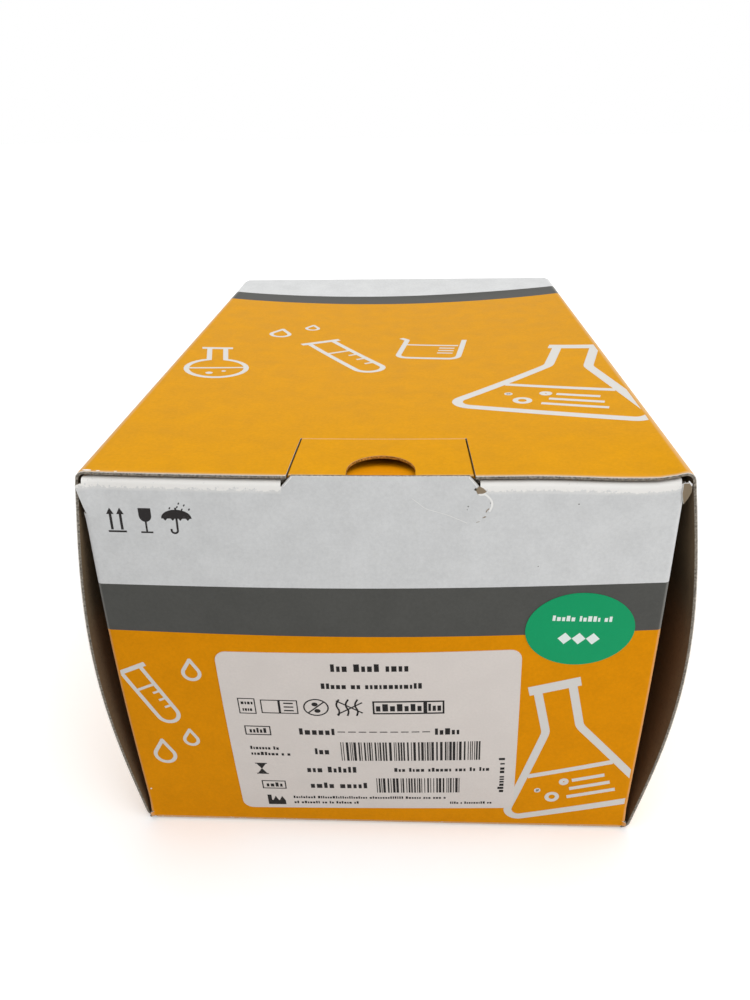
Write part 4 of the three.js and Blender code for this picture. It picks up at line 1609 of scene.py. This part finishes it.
@dataclass
class RubsAndTears(SurfaceMarks):
    """Small damage: the torn nick beside the tongue, the torn corner, chips and scratches.

    Args:
        clay: Bare white coating where the print is rubbed off.
        ply: Torn grey board.
        dark: Painted shade in the cracks, and dark specks.
    """

    clay: Finish
    ply: Finish
    dark: Finish

    def build(self) -> None:
        """Makes the marks on the panel and on the top, and the torn corner."""
        tear = Artwork("torn_ply")
        tear.patch((22.7, 112.5), (24.0, 112.7), (24.8, 113.2), (24.1, 114.0), (23.0, 114.6), (22.2, 113.8))
        tear.stroke(25.5, 108.2, 225, 0.22, 0.5, (0.7, 30), 0.4)
        tear.patch((23.9, 105.5), (24.5, 105.6), (25.0, 105.9), (24.6, 106.0))
        tear.bar(23.0, 104.5, 0.8, 0.1, 20)
        self._on_front(tear, self.ply)
        rim = Artwork("torn_rims")
        self._rims(rim)
        self._on_front(rim, self.clay)
        # Painted shade: a dark patch where the torn nick's crack lies in shadow, with a few real dark
        # specks.
        crack_shade_and_specks = Artwork("painted_crack_shade_and_specks")
        crack_shade_and_specks.patch((21.8, 113.7), (22.3, 113.4), (22.6, 113.9), (22.2, 114.2))
        crack_shade_and_specks.disc(25.8, 109.9, 0.2, 0.3, 8)
        for u, v, size in (
            (46.4, 109.6, 0.34), (20.6, 108.9, 0.34), (20.4, 107.9, 0.22), (38.0, 92.5, 0.25),
        ):
            crack_shade_and_specks.disc(u, v, size, size, 8)
        self._on_front(crack_shade_and_specks, self.dark)
        chips = Artwork("top_edge_chips")
        for u, v, width, depth in ((-69.3, 0.9, 2.2, 0.8), (-66.6, 0.75, 1.0, 0.5), (-62.4, 0.7, 0.8, 0.4)):
            chips.disc(u, self.layout.front + v, width, depth, 9)
        self._on_top(chips, self.clay)
        self._torn_corner()

    def _rims(self, art: Artwork) -> None:
        """Draws a long scratch and the white rims of the tears and of the tongue's cut edges.

        Args:
            art: The sheet that it is drawn on.
        """
        art.patch(
            (22.7, 112.5), (23.3, 112.1), (24.3, 112.2), (25.2, 111.6), (25.4, 112.0), (24.6, 112.7),
            (23.8, 113.1), (23.1, 112.9),
        )
        art.stroke(25.1, 111.9, -50, 0.5, 0.6, (3.0, -60), 1.2)
        art.stroke(7.4, 111.4, -45, 0.11, 3.8, (3.5, 26), 4.2, (9.0, -6), 4.6)
        art.disc(-69.0, 12.8, 0.6, 0.5, 8)
        art.patch(
            (70.9, 114.7), (71.6, 114.0), (71.7, 112.6), (71.2, 110.8), (70.5, 109.2), (71.4, 110.6),
            (72.0, 112.5), (71.9, 114.2), (71.0, 115.1),
        )
        for hand in (-1, 1):
            art.stroke(20.55 * hand, 116.8, 270 + 40 * hand, 0.22, 3.1)

    def _torn_corner(self) -> None:
        """Makes the curled shred at the closing panel's upper right corner."""
        shred = Artwork("torn_corner")
        shred.patch(
            (69.9, 112.0), (70.5, 109.2), (71.2, 110.8), (71.7, 112.6), (71.6, 114.0), (70.9, 114.7),
            (69.9, 114.5),
        )
        shred.lay((0, self.layout.front - 0.3, 0), upright=True)
        shred.grid(0.6, (X, 68, 73), (Z, 108, 116))
        shred.dress([self.ply, self.ply, self.clay])
        shred.modify("SOLIDIFY", thickness=0.35, offset=-1, material_offset=0, material_offset_rim=2)
        shred.bow(("Y", -0.6, lambda p: smooth(p.x, 69.8, 72)), *self.bow.of_panel())
        shred.finish("closure", "printed_board", smooth_below=50)


# ---------------------------------------------------------------- finishes


def linear(hex_colour: str, shade: float = 1.0) -> Colour:
    """Turns an sRGB hex colour into linear RGBA.

    Args:
        hex_colour: A colour such as '#c97f06'.
        shade: How much lighter or darker it is made.

    Returns:
        The colour.
    """
    parts = [int(hex_colour[i : i + 2], 16) / 255 for i in (1, 3, 5)]
    light = (c / 12.92 if c <= 0.04045 else ((c + 0.055) / 1.055) ** 2.4 for c in parts)
    red, green, blue = (min(1.0, c * shade) for c in light)
    return red, green, blue, 1.0


def per_mm(size: float) -> float:
    """Scale of a pattern on Object coordinates whose features are a size in millimetres across."""
    return 1 / (size * MM)


class Recipe:
    """The nodes of a finish, of the floor or of the dome."""

    def __init__(self, owner: Finish | bpy.types.World) -> None:
        """Starts with an empty tree.

        Args:
            owner: The material or the world that the nodes belong to.
        """
        owner.use_nodes = True
        self.owner = owner
        self.tree = owner.node_tree
        self.tree.nodes.clear()
        self.coordinates = self.node("ShaderNodeTexCoord").outputs

    def node(self, kind: str, inputs: dict | None = None, **settings: object) -> bpy.types.Node:
        """Adds a node.

        Args:
            kind: Its type.
            inputs: Values, sockets, or nodes that stand for their first output, by name or number.
            settings: Its properties.

        Returns:
            The node.
        """
        node = self.tree.nodes.new(kind)
        for name, value in settings.items():
            setattr(node, name, value)
        for key, value in (inputs or {}).items():
            if isinstance(value, bpy.types.Node):
                value = value.outputs[0]
            if isinstance(value, Socket):
                self.tree.links.new(value, node.inputs[key])
            else:
                node.inputs[key].default_value = value
        return node

    def seal(self, inputs: dict) -> Finish:
        """Ends the finish in a Principled shader.

        Args:
            inputs: Values or links for the shader's sockets.

        Returns:
            The finish.
        """
        shader = self.node("ShaderNodeBsdfPrincipled", inputs)
        self.node("ShaderNodeOutputMaterial", {"Surface": shader})
        return self.owner

    def background_rays(self) -> bpy.types.Node:
        """One for rays that show the background: from the camera, in reflections and through glass.

        Returns:
            The node with the number, zero for all other rays.
        """
        rays = self.node("ShaderNodeLightPath").outputs
        plain = {0: rays["Is Camera Ray"], 1: rays["Is Glossy Ray"]}
        seen = {0: self.node("ShaderNodeMath", plain, operation="MAXIMUM"), 1: rays["Is Transmission Ray"]}
        return self.node("ShaderNodeMath", seen, operation="MAXIMUM")


@dataclass(frozen=True)
class PrintedBoard:
    """Clay-coated cartonboard, offset printed and sealed with a satin varnish.

    The ink lies evenly with a faint mottle, the coat gives a soft sheen, and where the folds and
    edges are rubbed the white clay shows through in specks.

    Args:
        name: Name of the material.
        colour: Colour of the print.
        worn: Colour that shows through where the print is rubbed off.
        mottle: Size in millimetres of the print's faint clouds.
        speck: Size in millimetres of the specks that rub off together.
        tooth: Size in millimetres of the paper's fine unevenness, drawn coarse enough to show.
        warp: Size in millimetres of the board's shallow waves.
    """

    name: str
    colour: str
    worn: str = "#dedbd4"
    mottle: float = 7.0
    speck: float = 0.9
    tooth: float = 0.45
    warp: float = 16.0

    def make(self) -> Finish:
        """Makes the material.

        Returns:
            The material.
        """
        board = Recipe(bpy.data.materials.new(self.name))
        place = board.coordinates["Object"]
        soft = {"Vector": place, "Scale": per_mm(self.mottle), "Detail": 4}
        fine = {"Vector": place, "Scale": per_mm(self.speck), "Detail": 3, "Roughness": 0.7}
        clouds, specks = (board.node("ShaderNodeTexNoise", inputs) for inputs in (soft, fine))
        rubbed = self._rubbed(board, specks)
        grainy = board.node("ShaderNodeMath", {0: specks, 1: 1.2, 2: clouds}, operation="MULTIPLY_ADD")
        share = board.node("ShaderNodeMapRange", {"Value": grainy, "From Min": 0.8, "From Max": 1.4})
        inks = {0: share, 6: linear(self.colour, 0.93), 7: linear(self.colour, 1.05)}
        tone = board.node("ShaderNodeMix", inks, data_type="RGBA").outputs[2]
        faces = {0: rubbed, 6: tone, 7: linear(self.worn)}
        satin = board.node("ShaderNodeMapRange", {"Value": clouds, "To Min": 0.4, "To Max": 0.54})
        return board.seal({
            "Base Color": board.node("ShaderNodeMix", faces, data_type="RGBA").outputs[2],
            "Roughness": board.node("ShaderNodeMix", {0: rubbed, 2: satin, 3: 0.85}),
            "Normal": self._relief(board),
            "Specular IOR Level": 0.03,
        })

    def _rubbed(self, board: Recipe, specks: bpy.types.Node) -> bpy.types.Node:
        """Share of the print that is gone: a faint light line along the folds, partly stretched coating and
        partly a painted highlight, and specks where wear is strong.

        Args:
            board: The nodes.
            specks: Fine unevenness.

        Returns:
            The node with the share.
        """
        coarse = {"Vector": board.coordinates["Object"], "Scale": per_mm(5.5), "Detail": 2}
        patches = board.node("ShaderNodeTexNoise", coarse)
        wear = board.node("ShaderNodeAttribute", attribute_name="wear").outputs["Fac"]
        both = board.node("ShaderNodeMath", {0: patches, 1: 0.3, 2: specks}, operation="MULTIPLY_ADD")
        total = board.node("ShaderNodeMath", {0: wear, 1: 0.8, 2: both}, operation="MULTIPLY_ADD")
        gone = board.node("ShaderNodeMapRange", {"Value": total, "From Min": 1.16, "From Max": 1.27})
        # Faint light line along the folds: partly coat whitened where it stretched, partly a painted
        # highlight on the folds' curves.
        faint_fold_line = {"Value": wear, "From Min": 0.1, "From Max": 0.5, "To Max": 0.34}
        fold_whitening_and_highlight = board.node("ShaderNodeMapRange", faint_fold_line)
        return board.node("ShaderNodeMath", {0: gone, 1: fold_whitening_and_highlight}, operation="MAXIMUM")

    def _relief(self, board: Recipe) -> bpy.types.Node:
        """Adds the board's shallow waves and the paper's tooth.

        Args:
            board: The nodes.

        Returns:
            The node with the normal.
        """
        under = {}
        for size, strength, depth in ((self.warp, 0.5, 0.25), (self.tooth, 0.25, 0.03)):
            pattern = {"Vector": board.coordinates["Object"], "Scale": per_mm(size), "Detail": 2}
            height = board.node("ShaderNodeTexNoise", pattern)
            raised = {"Height": height, "Strength": strength, "Distance": depth * MM, **under}
            bump = board.node("ShaderNodeBump", raised)
            under = {"Normal": bump}
        return bump


@dataclass(frozen=True)
class GreyBack:
    """Unprinted back of recycled cartonboard: matt grey-brown, with short fibres and dark flecks, its brown
    made darker than the board's own as painted shade for the carton's inside.

    Args:
        name: Name of the material.
        colour: Colour of the pulp, made darker than the board's own brown as painted shade.
        fleck: Colour of the flecks.
        fibre: Length in millimetres of the clumped fibres.
        spacing: Distance in millimetres between the flecks.
    """

    name: str = "grey_back_darkened_with_painted_shade"
    # Partly the board's own kraft brown, partly painted shade: darker than the real back so the inner walls
    # look shaded.
    colour: str = "#75634d"
    fleck: str = "#4b3e30"
    fibre: float = 1.6
    spacing: float = 1.3

    def make(self) -> Finish:
        """Makes the material.

        Returns:
            The material.
        """
        back = Recipe(bpy.data.materials.new(self.name))
        place = back.coordinates["Object"]
        clumps = {"Vector": place, "Scale": per_mm(self.fibre), "Detail": 5, "Distortion": 1.2}
        pulp = back.node("ShaderNodeTexNoise", clumps)
        cells = {"Vector": place, "Scale": per_mm(self.spacing)}
        flecks = back.node("ShaderNodeTexVoronoi", cells, feature="F1")
        sparse = {"Value": flecks, "From Min": 0.1, "From Max": 0.17, "To Min": 0.6, "To Max": 0}
        few = back.node("ShaderNodeMapRange", sparse)
        pulps = {0: pulp, 6: linear(self.colour, 0.8), 7: linear(self.colour, 1.15)}
        tone = back.node("ShaderNodeMix", pulps, data_type="RGBA").outputs[2]
        faces = {0: few, 6: tone, 7: linear(self.fleck)}
        return back.seal({
            "Base Color": back.node("ShaderNodeMix", faces, data_type="RGBA").outputs[2],
            "Roughness": 0.92,
            "Normal": back.node("ShaderNodeBump", {"Height": pulp, "Strength": 0.4, "Distance": 0.08 * MM}),
            "Specular IOR Level": 0.12,
        })


@dataclass(frozen=True)
class RawEdge:
    """Cut edge of cartonboard: grey plies under one thin white liner, slightly fibrous.

    Args:
        name: Name of the material.
        plies: Colour of the middle plies.
        liner: Colour of the white liner under the print.
        fluff: Size in millimetres of the torn fibres.
    """

    name: str = "raw_cut_edge_of_board"
    plies: str = "#7f786e"
    liner: str = "#e6e2da"
    fluff: float = 0.6

    def make(self) -> Finish:
        """Makes the material.

        Returns:
            The material.
        """
        edge = Recipe(bpy.data.materials.new(self.name))
        place = edge.coordinates["Object"]
        fibres = {"Vector": place, "Scale": per_mm(self.fluff), "Detail": 3, "Roughness": 0.7}
        fluff = edge.node("ShaderNodeTexNoise", fibres)
        skin = edge.node("ShaderNodeAttribute", attribute_name="skin").outputs["Fac"]
        frayed = edge.node("ShaderNodeMath", {0: fluff, 1: 0.28, 2: skin}, operation="MULTIPLY_ADD")
        torn = edge.node("ShaderNodeMapRange", {"Value": fluff, "From Min": 0.36, "From Max": 0.66})
        white = edge.node("ShaderNodeMapRange", {"Value": frayed, "From Min": 0.84, "From Max": 0.98})
        greys = {0: torn, 6: linear(self.plies, 0.45), 7: linear(self.plies, 1.9)}
        tone = edge.node("ShaderNodeMix", greys, data_type="RGBA").outputs[2]
        layers = {0: white, 6: tone, 7: linear(self.liner)}
        return edge.seal({
            "Base Color": edge.node("ShaderNodeMix", layers, data_type="RGBA").outputs[2],
            "Roughness": 0.9,
            "Normal": edge.node("ShaderNodeBump", {"Height": fluff, "Strength": 0.6, "Distance": 0.1 * MM}),
            "Specular IOR Level": 0.12,
        })


@dataclass(frozen=True)
class StickerPaper:
    """Thin label paper on a sticky back: an even matt or half-gloss face with a fine felt grain.

    Args:
        name: Name of the material.
        colour: Colour of its face.
        roughness: How matt it is.
        sheen: Strength of its surface's reflection.
        felt: Size in millimetres of its grain.
        cloud: Size in millimetres of its faint clouds.
    """

    name: str
    colour: str
    roughness: float
    sheen: float = 0.15
    felt: float = 0.6
    cloud: float = 11.0

    def make(self) -> Finish:
        """Makes the material.

        Returns:
            The material.
        """
        paper = Recipe(bpy.data.materials.new(self.name))
        place = paper.coordinates["Object"]
        felt, clouds = (
            paper.node("ShaderNodeTexNoise", {"Vector": place, "Scale": per_mm(size), "Detail": detail})
            for size, detail in ((self.felt, 3), (self.cloud, 2))
        )
        both = paper.node("ShaderNodeMath", {0: felt, 1: clouds}, operation="MULTIPLY")
        tones = {0: both, 6: linear(self.colour, 0.92), 7: linear(self.colour, 1.1)}
        return paper.seal({
            "Base Color": paper.node("ShaderNodeMix", tones, data_type="RGBA").outputs[2],
            "Roughness": self.roughness,
            "Normal": paper.node("ShaderNodeBump", {"Height": felt, "Strength": 0.3, "Distance": 0.03 * MM}),
            "Specular IOR Level": self.sheen,
        })


@dataclass(frozen=True)
class Ink:
    """A film of printing ink: an even colour with tiny pinholes where the paper shows.

    Args:
        name: Name of the material.
        colour: Colour of the ink.
        paper: Colour that shows in the pinholes.
        roughness: How matt it dries.
        pinhole: Size in millimetres of the pinholes, drawn coarse enough to show.
    """

    name: str
    colour: str
    paper: str
    roughness: float = 0.5
    pinhole: float = 0.5

    def make(self) -> Finish:
        """Makes the material.

        Returns:
            The material.
        """
        ink = Recipe(bpy.data.materials.new(self.name))
        pattern = {"Scale": per_mm(self.pinhole), "Detail": 3, "Roughness": 0.65}
        grain = ink.node("ShaderNodeTexNoise", {"Vector": ink.coordinates["Object"], **pattern})
        few = {"Value": grain, "From Min": 0.62, "From Max": 0.78, "To Max": 0.5}
        holes = ink.node("ShaderNodeMapRange", few)
        faces = {0: holes, 6: linear(self.colour), 7: linear(self.paper)}
        return ink.seal({
            "Base Color": ink.node("ShaderNodeMix", faces, data_type="RGBA").outputs[2],
            "Roughness": self.roughness,
            "Specular IOR Level": 0.14,
        })


# ---------------------------------------------------------------- studio


@dataclass(frozen=True)
class Camera:
    """The camera, fitted to the carton's corners.

    Args:
        place: Where it stands, in millimetres.
        pitch: Degrees that it looks down.
        yaw: Degrees that it looks to the right of +Y.
        roll: Degrees that it is turned about its line of sight.
        lens: Focal length in millimetres on a 36 mm long side.
    """

    place: Point = (6.72, -268.02, 194.15)
    pitch: float = 27.57
    yaw: float = -2.84
    roll: float = -1.08
    lens: float = 27.90

    def make(self) -> None:
        """Makes the scene's camera."""
        pitch, yaw, roll = (math.radians(a) for a in (self.pitch, self.yaw, self.roll))
        ahead = Vector((math.sin(yaw) * math.cos(pitch), math.cos(yaw) * math.cos(pitch), -math.sin(pitch)))
        right = ahead.cross(Vector(Z)).normalized()
        upright = Matrix((right, right.cross(ahead), -ahead)).transposed().to_4x4()
        data = bpy.data.cameras.new("camera")
        data.lens = self.lens
        data.sensor_width = 36
        camera = bpy.data.objects.new("camera", data)
        turned = upright @ Matrix.Rotation(roll, 4, "Z")
        camera.matrix_world = Matrix.Translation(Vector(self.place) * MM) @ turned
        bpy.context.scene.collection.objects.link(camera)
        bpy.context.scene.camera = camera


@dataclass(frozen=True)
class Studio:
    """A pale floor under a soft white dome that is brighter overhead, with a broad and a side lamp.

    Args:
        floor_colour: Colour that the floor throws back on the carton; the camera sees it white.
        floor_glow: How much it is lifted towards white where it is seen as background.
        horizon: Strength of the dome's light at the horizon.
        overhead: Strength of its light straight above.
        lamp_power: Strength of the broad lamp.
        lamp_width: Angle in degrees that the broad lamp fills.
        lamp_from: Direction that the broad lamp shines from.
        side_place: Where the soft side lamp hangs, in metres.
        side_width: Width of the side lamp in metres.
        side_power: Power of the side lamp in watts.
    """

    floor_colour: str = "#c0c0c0"
    floor_glow: float = 0.17
    horizon: float = 0.34
    overhead: float = 1.12
    lamp_power: float = 0.55
    lamp_width: float = 40.0
    lamp_from: Point = (0.2, 0.22, 1.0)
    side_place: Point = (0.52, -0.5, 0.2)
    side_width: float = 0.4
    side_power: float = 1.4

    def build(self) -> None:
        """Sets the studio up."""
        self._floor()
        self._dome()
        self._lamps()
        bpy.context.scene.view_settings.view_transform = "Standard"

    def _floor(self) -> None:
        """Lays the floor just under the carton."""
        bpy.ops.object.select_all(action="DESELECT")
        bpy.ops.mesh.primitive_plane_add(size=8, location=(0, 0, -0.0002))
        floor = bpy.context.object
        floor.name = "floor"
        pale, white = Recipe(bpy.data.materials.new("pale_floor")), (1, 1, 1, 1)
        seen = pale.background_rays()
        faces = {0: seen, 6: linear(self.floor_colour), 7: white}
        glow = pale.node("ShaderNodeMath", {0: seen, 1: self.floor_glow}, operation="MULTIPLY")
        floor.data.materials.append(pale.seal({
            "Base Color": pale.node("ShaderNodeMix", faces, data_type="RGBA").outputs[2],
            "Roughness": 1.0,
            "Specular IOR Level": 0.0,
            "Emission Color": white,
            "Emission Strength": glow,
        }))

    def _dome(self) -> None:
        """Lights the carton from all round, and shows plain white to the camera and in reflections."""
        world = bpy.data.worlds.new("dome")
        bpy.context.scene.world = world
        dome = Recipe(world)
        height = dome.node("ShaderNodeSeparateXYZ", {0: dome.coordinates["Generated"]}).outputs["Z"]
        range_up = {"Value": height, "To Min": self.horizon, "To Max": self.overhead}
        level = dome.node("ShaderNodeMapRange", range_up)
        strength = dome.node("ShaderNodeMix", {0: dome.background_rays(), 2: level, 3: 1.0})
        light = dome.node("ShaderNodeBackground", {"Color": (1, 1, 1, 1), "Strength": strength})
        dome.node("ShaderNodeOutputWorld", {"Surface": light})

    def _lamps(self) -> None:
        """Hangs the two lamps."""
        broad = bpy.data.lights.new("broad_lamp", "SUN")
        broad.energy = self.lamp_power
        broad.angle = math.radians(self.lamp_width)
        side = bpy.data.lights.new("side_lamp", "AREA")
        side.energy = self.side_power
        side.size = self.side_width
        for data, place in ((broad, self.lamp_from), (side, self.side_place)):
            lamp = bpy.data.objects.new(data.name, data)
            lamp.location = place
            lamp.rotation_euler = Vector(place).to_track_quat("Z", "Y").to_euler()
            bpy.context.scene.collection.objects.link(lamp)


def main() -> None:
    """Builds the carton and its studio."""
    logging.basicConfig(level=logging.INFO, format="%(message)s")
    layout = Layout.from_frame()
    bow = Bow(layout)
    Camera().make()
    Studio().build()
    orange = PrintedBoard("orange_printed_board", "#dd9a08").make()
    # Painted shade: the closing panel's orange is a deeper copy of the tube's orange, standing in for the
    # front taking less light than the top.
    front_orange_with_painted_shade = PrintedBoard("orange_board_deepened_as_painted_front_shade", "#e49206").make()
    back, edge = GreyBack().make(), RawEdge().make()
    # The tab's cut edges are tan: partly ink bled over the cut, partly painted light, the edges lit and
    # tinted by the orange print beside them.
    inked_and_bounce_lit_edge = RawEdge("raw_edge_ink_stained_with_painted_orange_light", "#a87a34", "#dcb878").make()
    fields = [
        PrintedBoard("white_clay_coated_board", "#d9dada", worn="#f6f4f0").make(),
        PrintedBoard("grey_printed_board", "#565653").make(),
    ]
    tube_board, panel_board = [orange, back, edge, *fields], [front_orange_with_painted_shade, back, edge, *fields]
    clay = Ink("bare_white_clay", "#f6f5f2", "#dedbd4", roughness=0.8).make()
    ply = Ink("torn_board_ply", "#93836d", "#5c4e3e", roughness=0.95).make()
    crack_shade_ink = Ink("painted_crack_shade_and_dark_specks", "#3a352f", "#8a8479", roughness=0.95).make()
    dark = Ink("dark_printing_ink", "#2a2727", "#8a8784").make()
    white = Ink("white_line_on_orange", "#dcd9d4", "#e9c787").make()
    PrintedTube(layout, bow, tube_board).build()
    ClosingPanel(layout, bow, panel_board).build()
    ThumbTab(layout, bow, [orange, back, inked_and_bounce_lit_edge, *fields]).build()
    Creases(layout, bow, panel_board, tube_board).build()
    PanelPrint(layout, bow, 0.02, dark, white).build()
    RubsAndTears(layout, bow, 0.05, clay, ply, crack_shade_ink).build()
    DataLabel(
        layout, bow, StickerPaper("matt_label_paper", "#e4dcd6", 0.75).make(),
        Ink("black_label_ink", "#1b1919", "#8f8a86").make(),
        centre=(-3.1, 37.2), size=(79.4, 59.6), degrees=1.6,
    ).build()
    OvalSticker(
        layout, bow, StickerPaper("green_sticker_paper", "#069d64", 0.42).make(),
        Ink("white_sticker_ink", "#e9f3ee", "#8fcab0").make(),
        centre=(49.9, 73.8), size=(27.7, 22.0), degrees=-3.0,
    ).build()


if __name__ == "__main__":
    main()
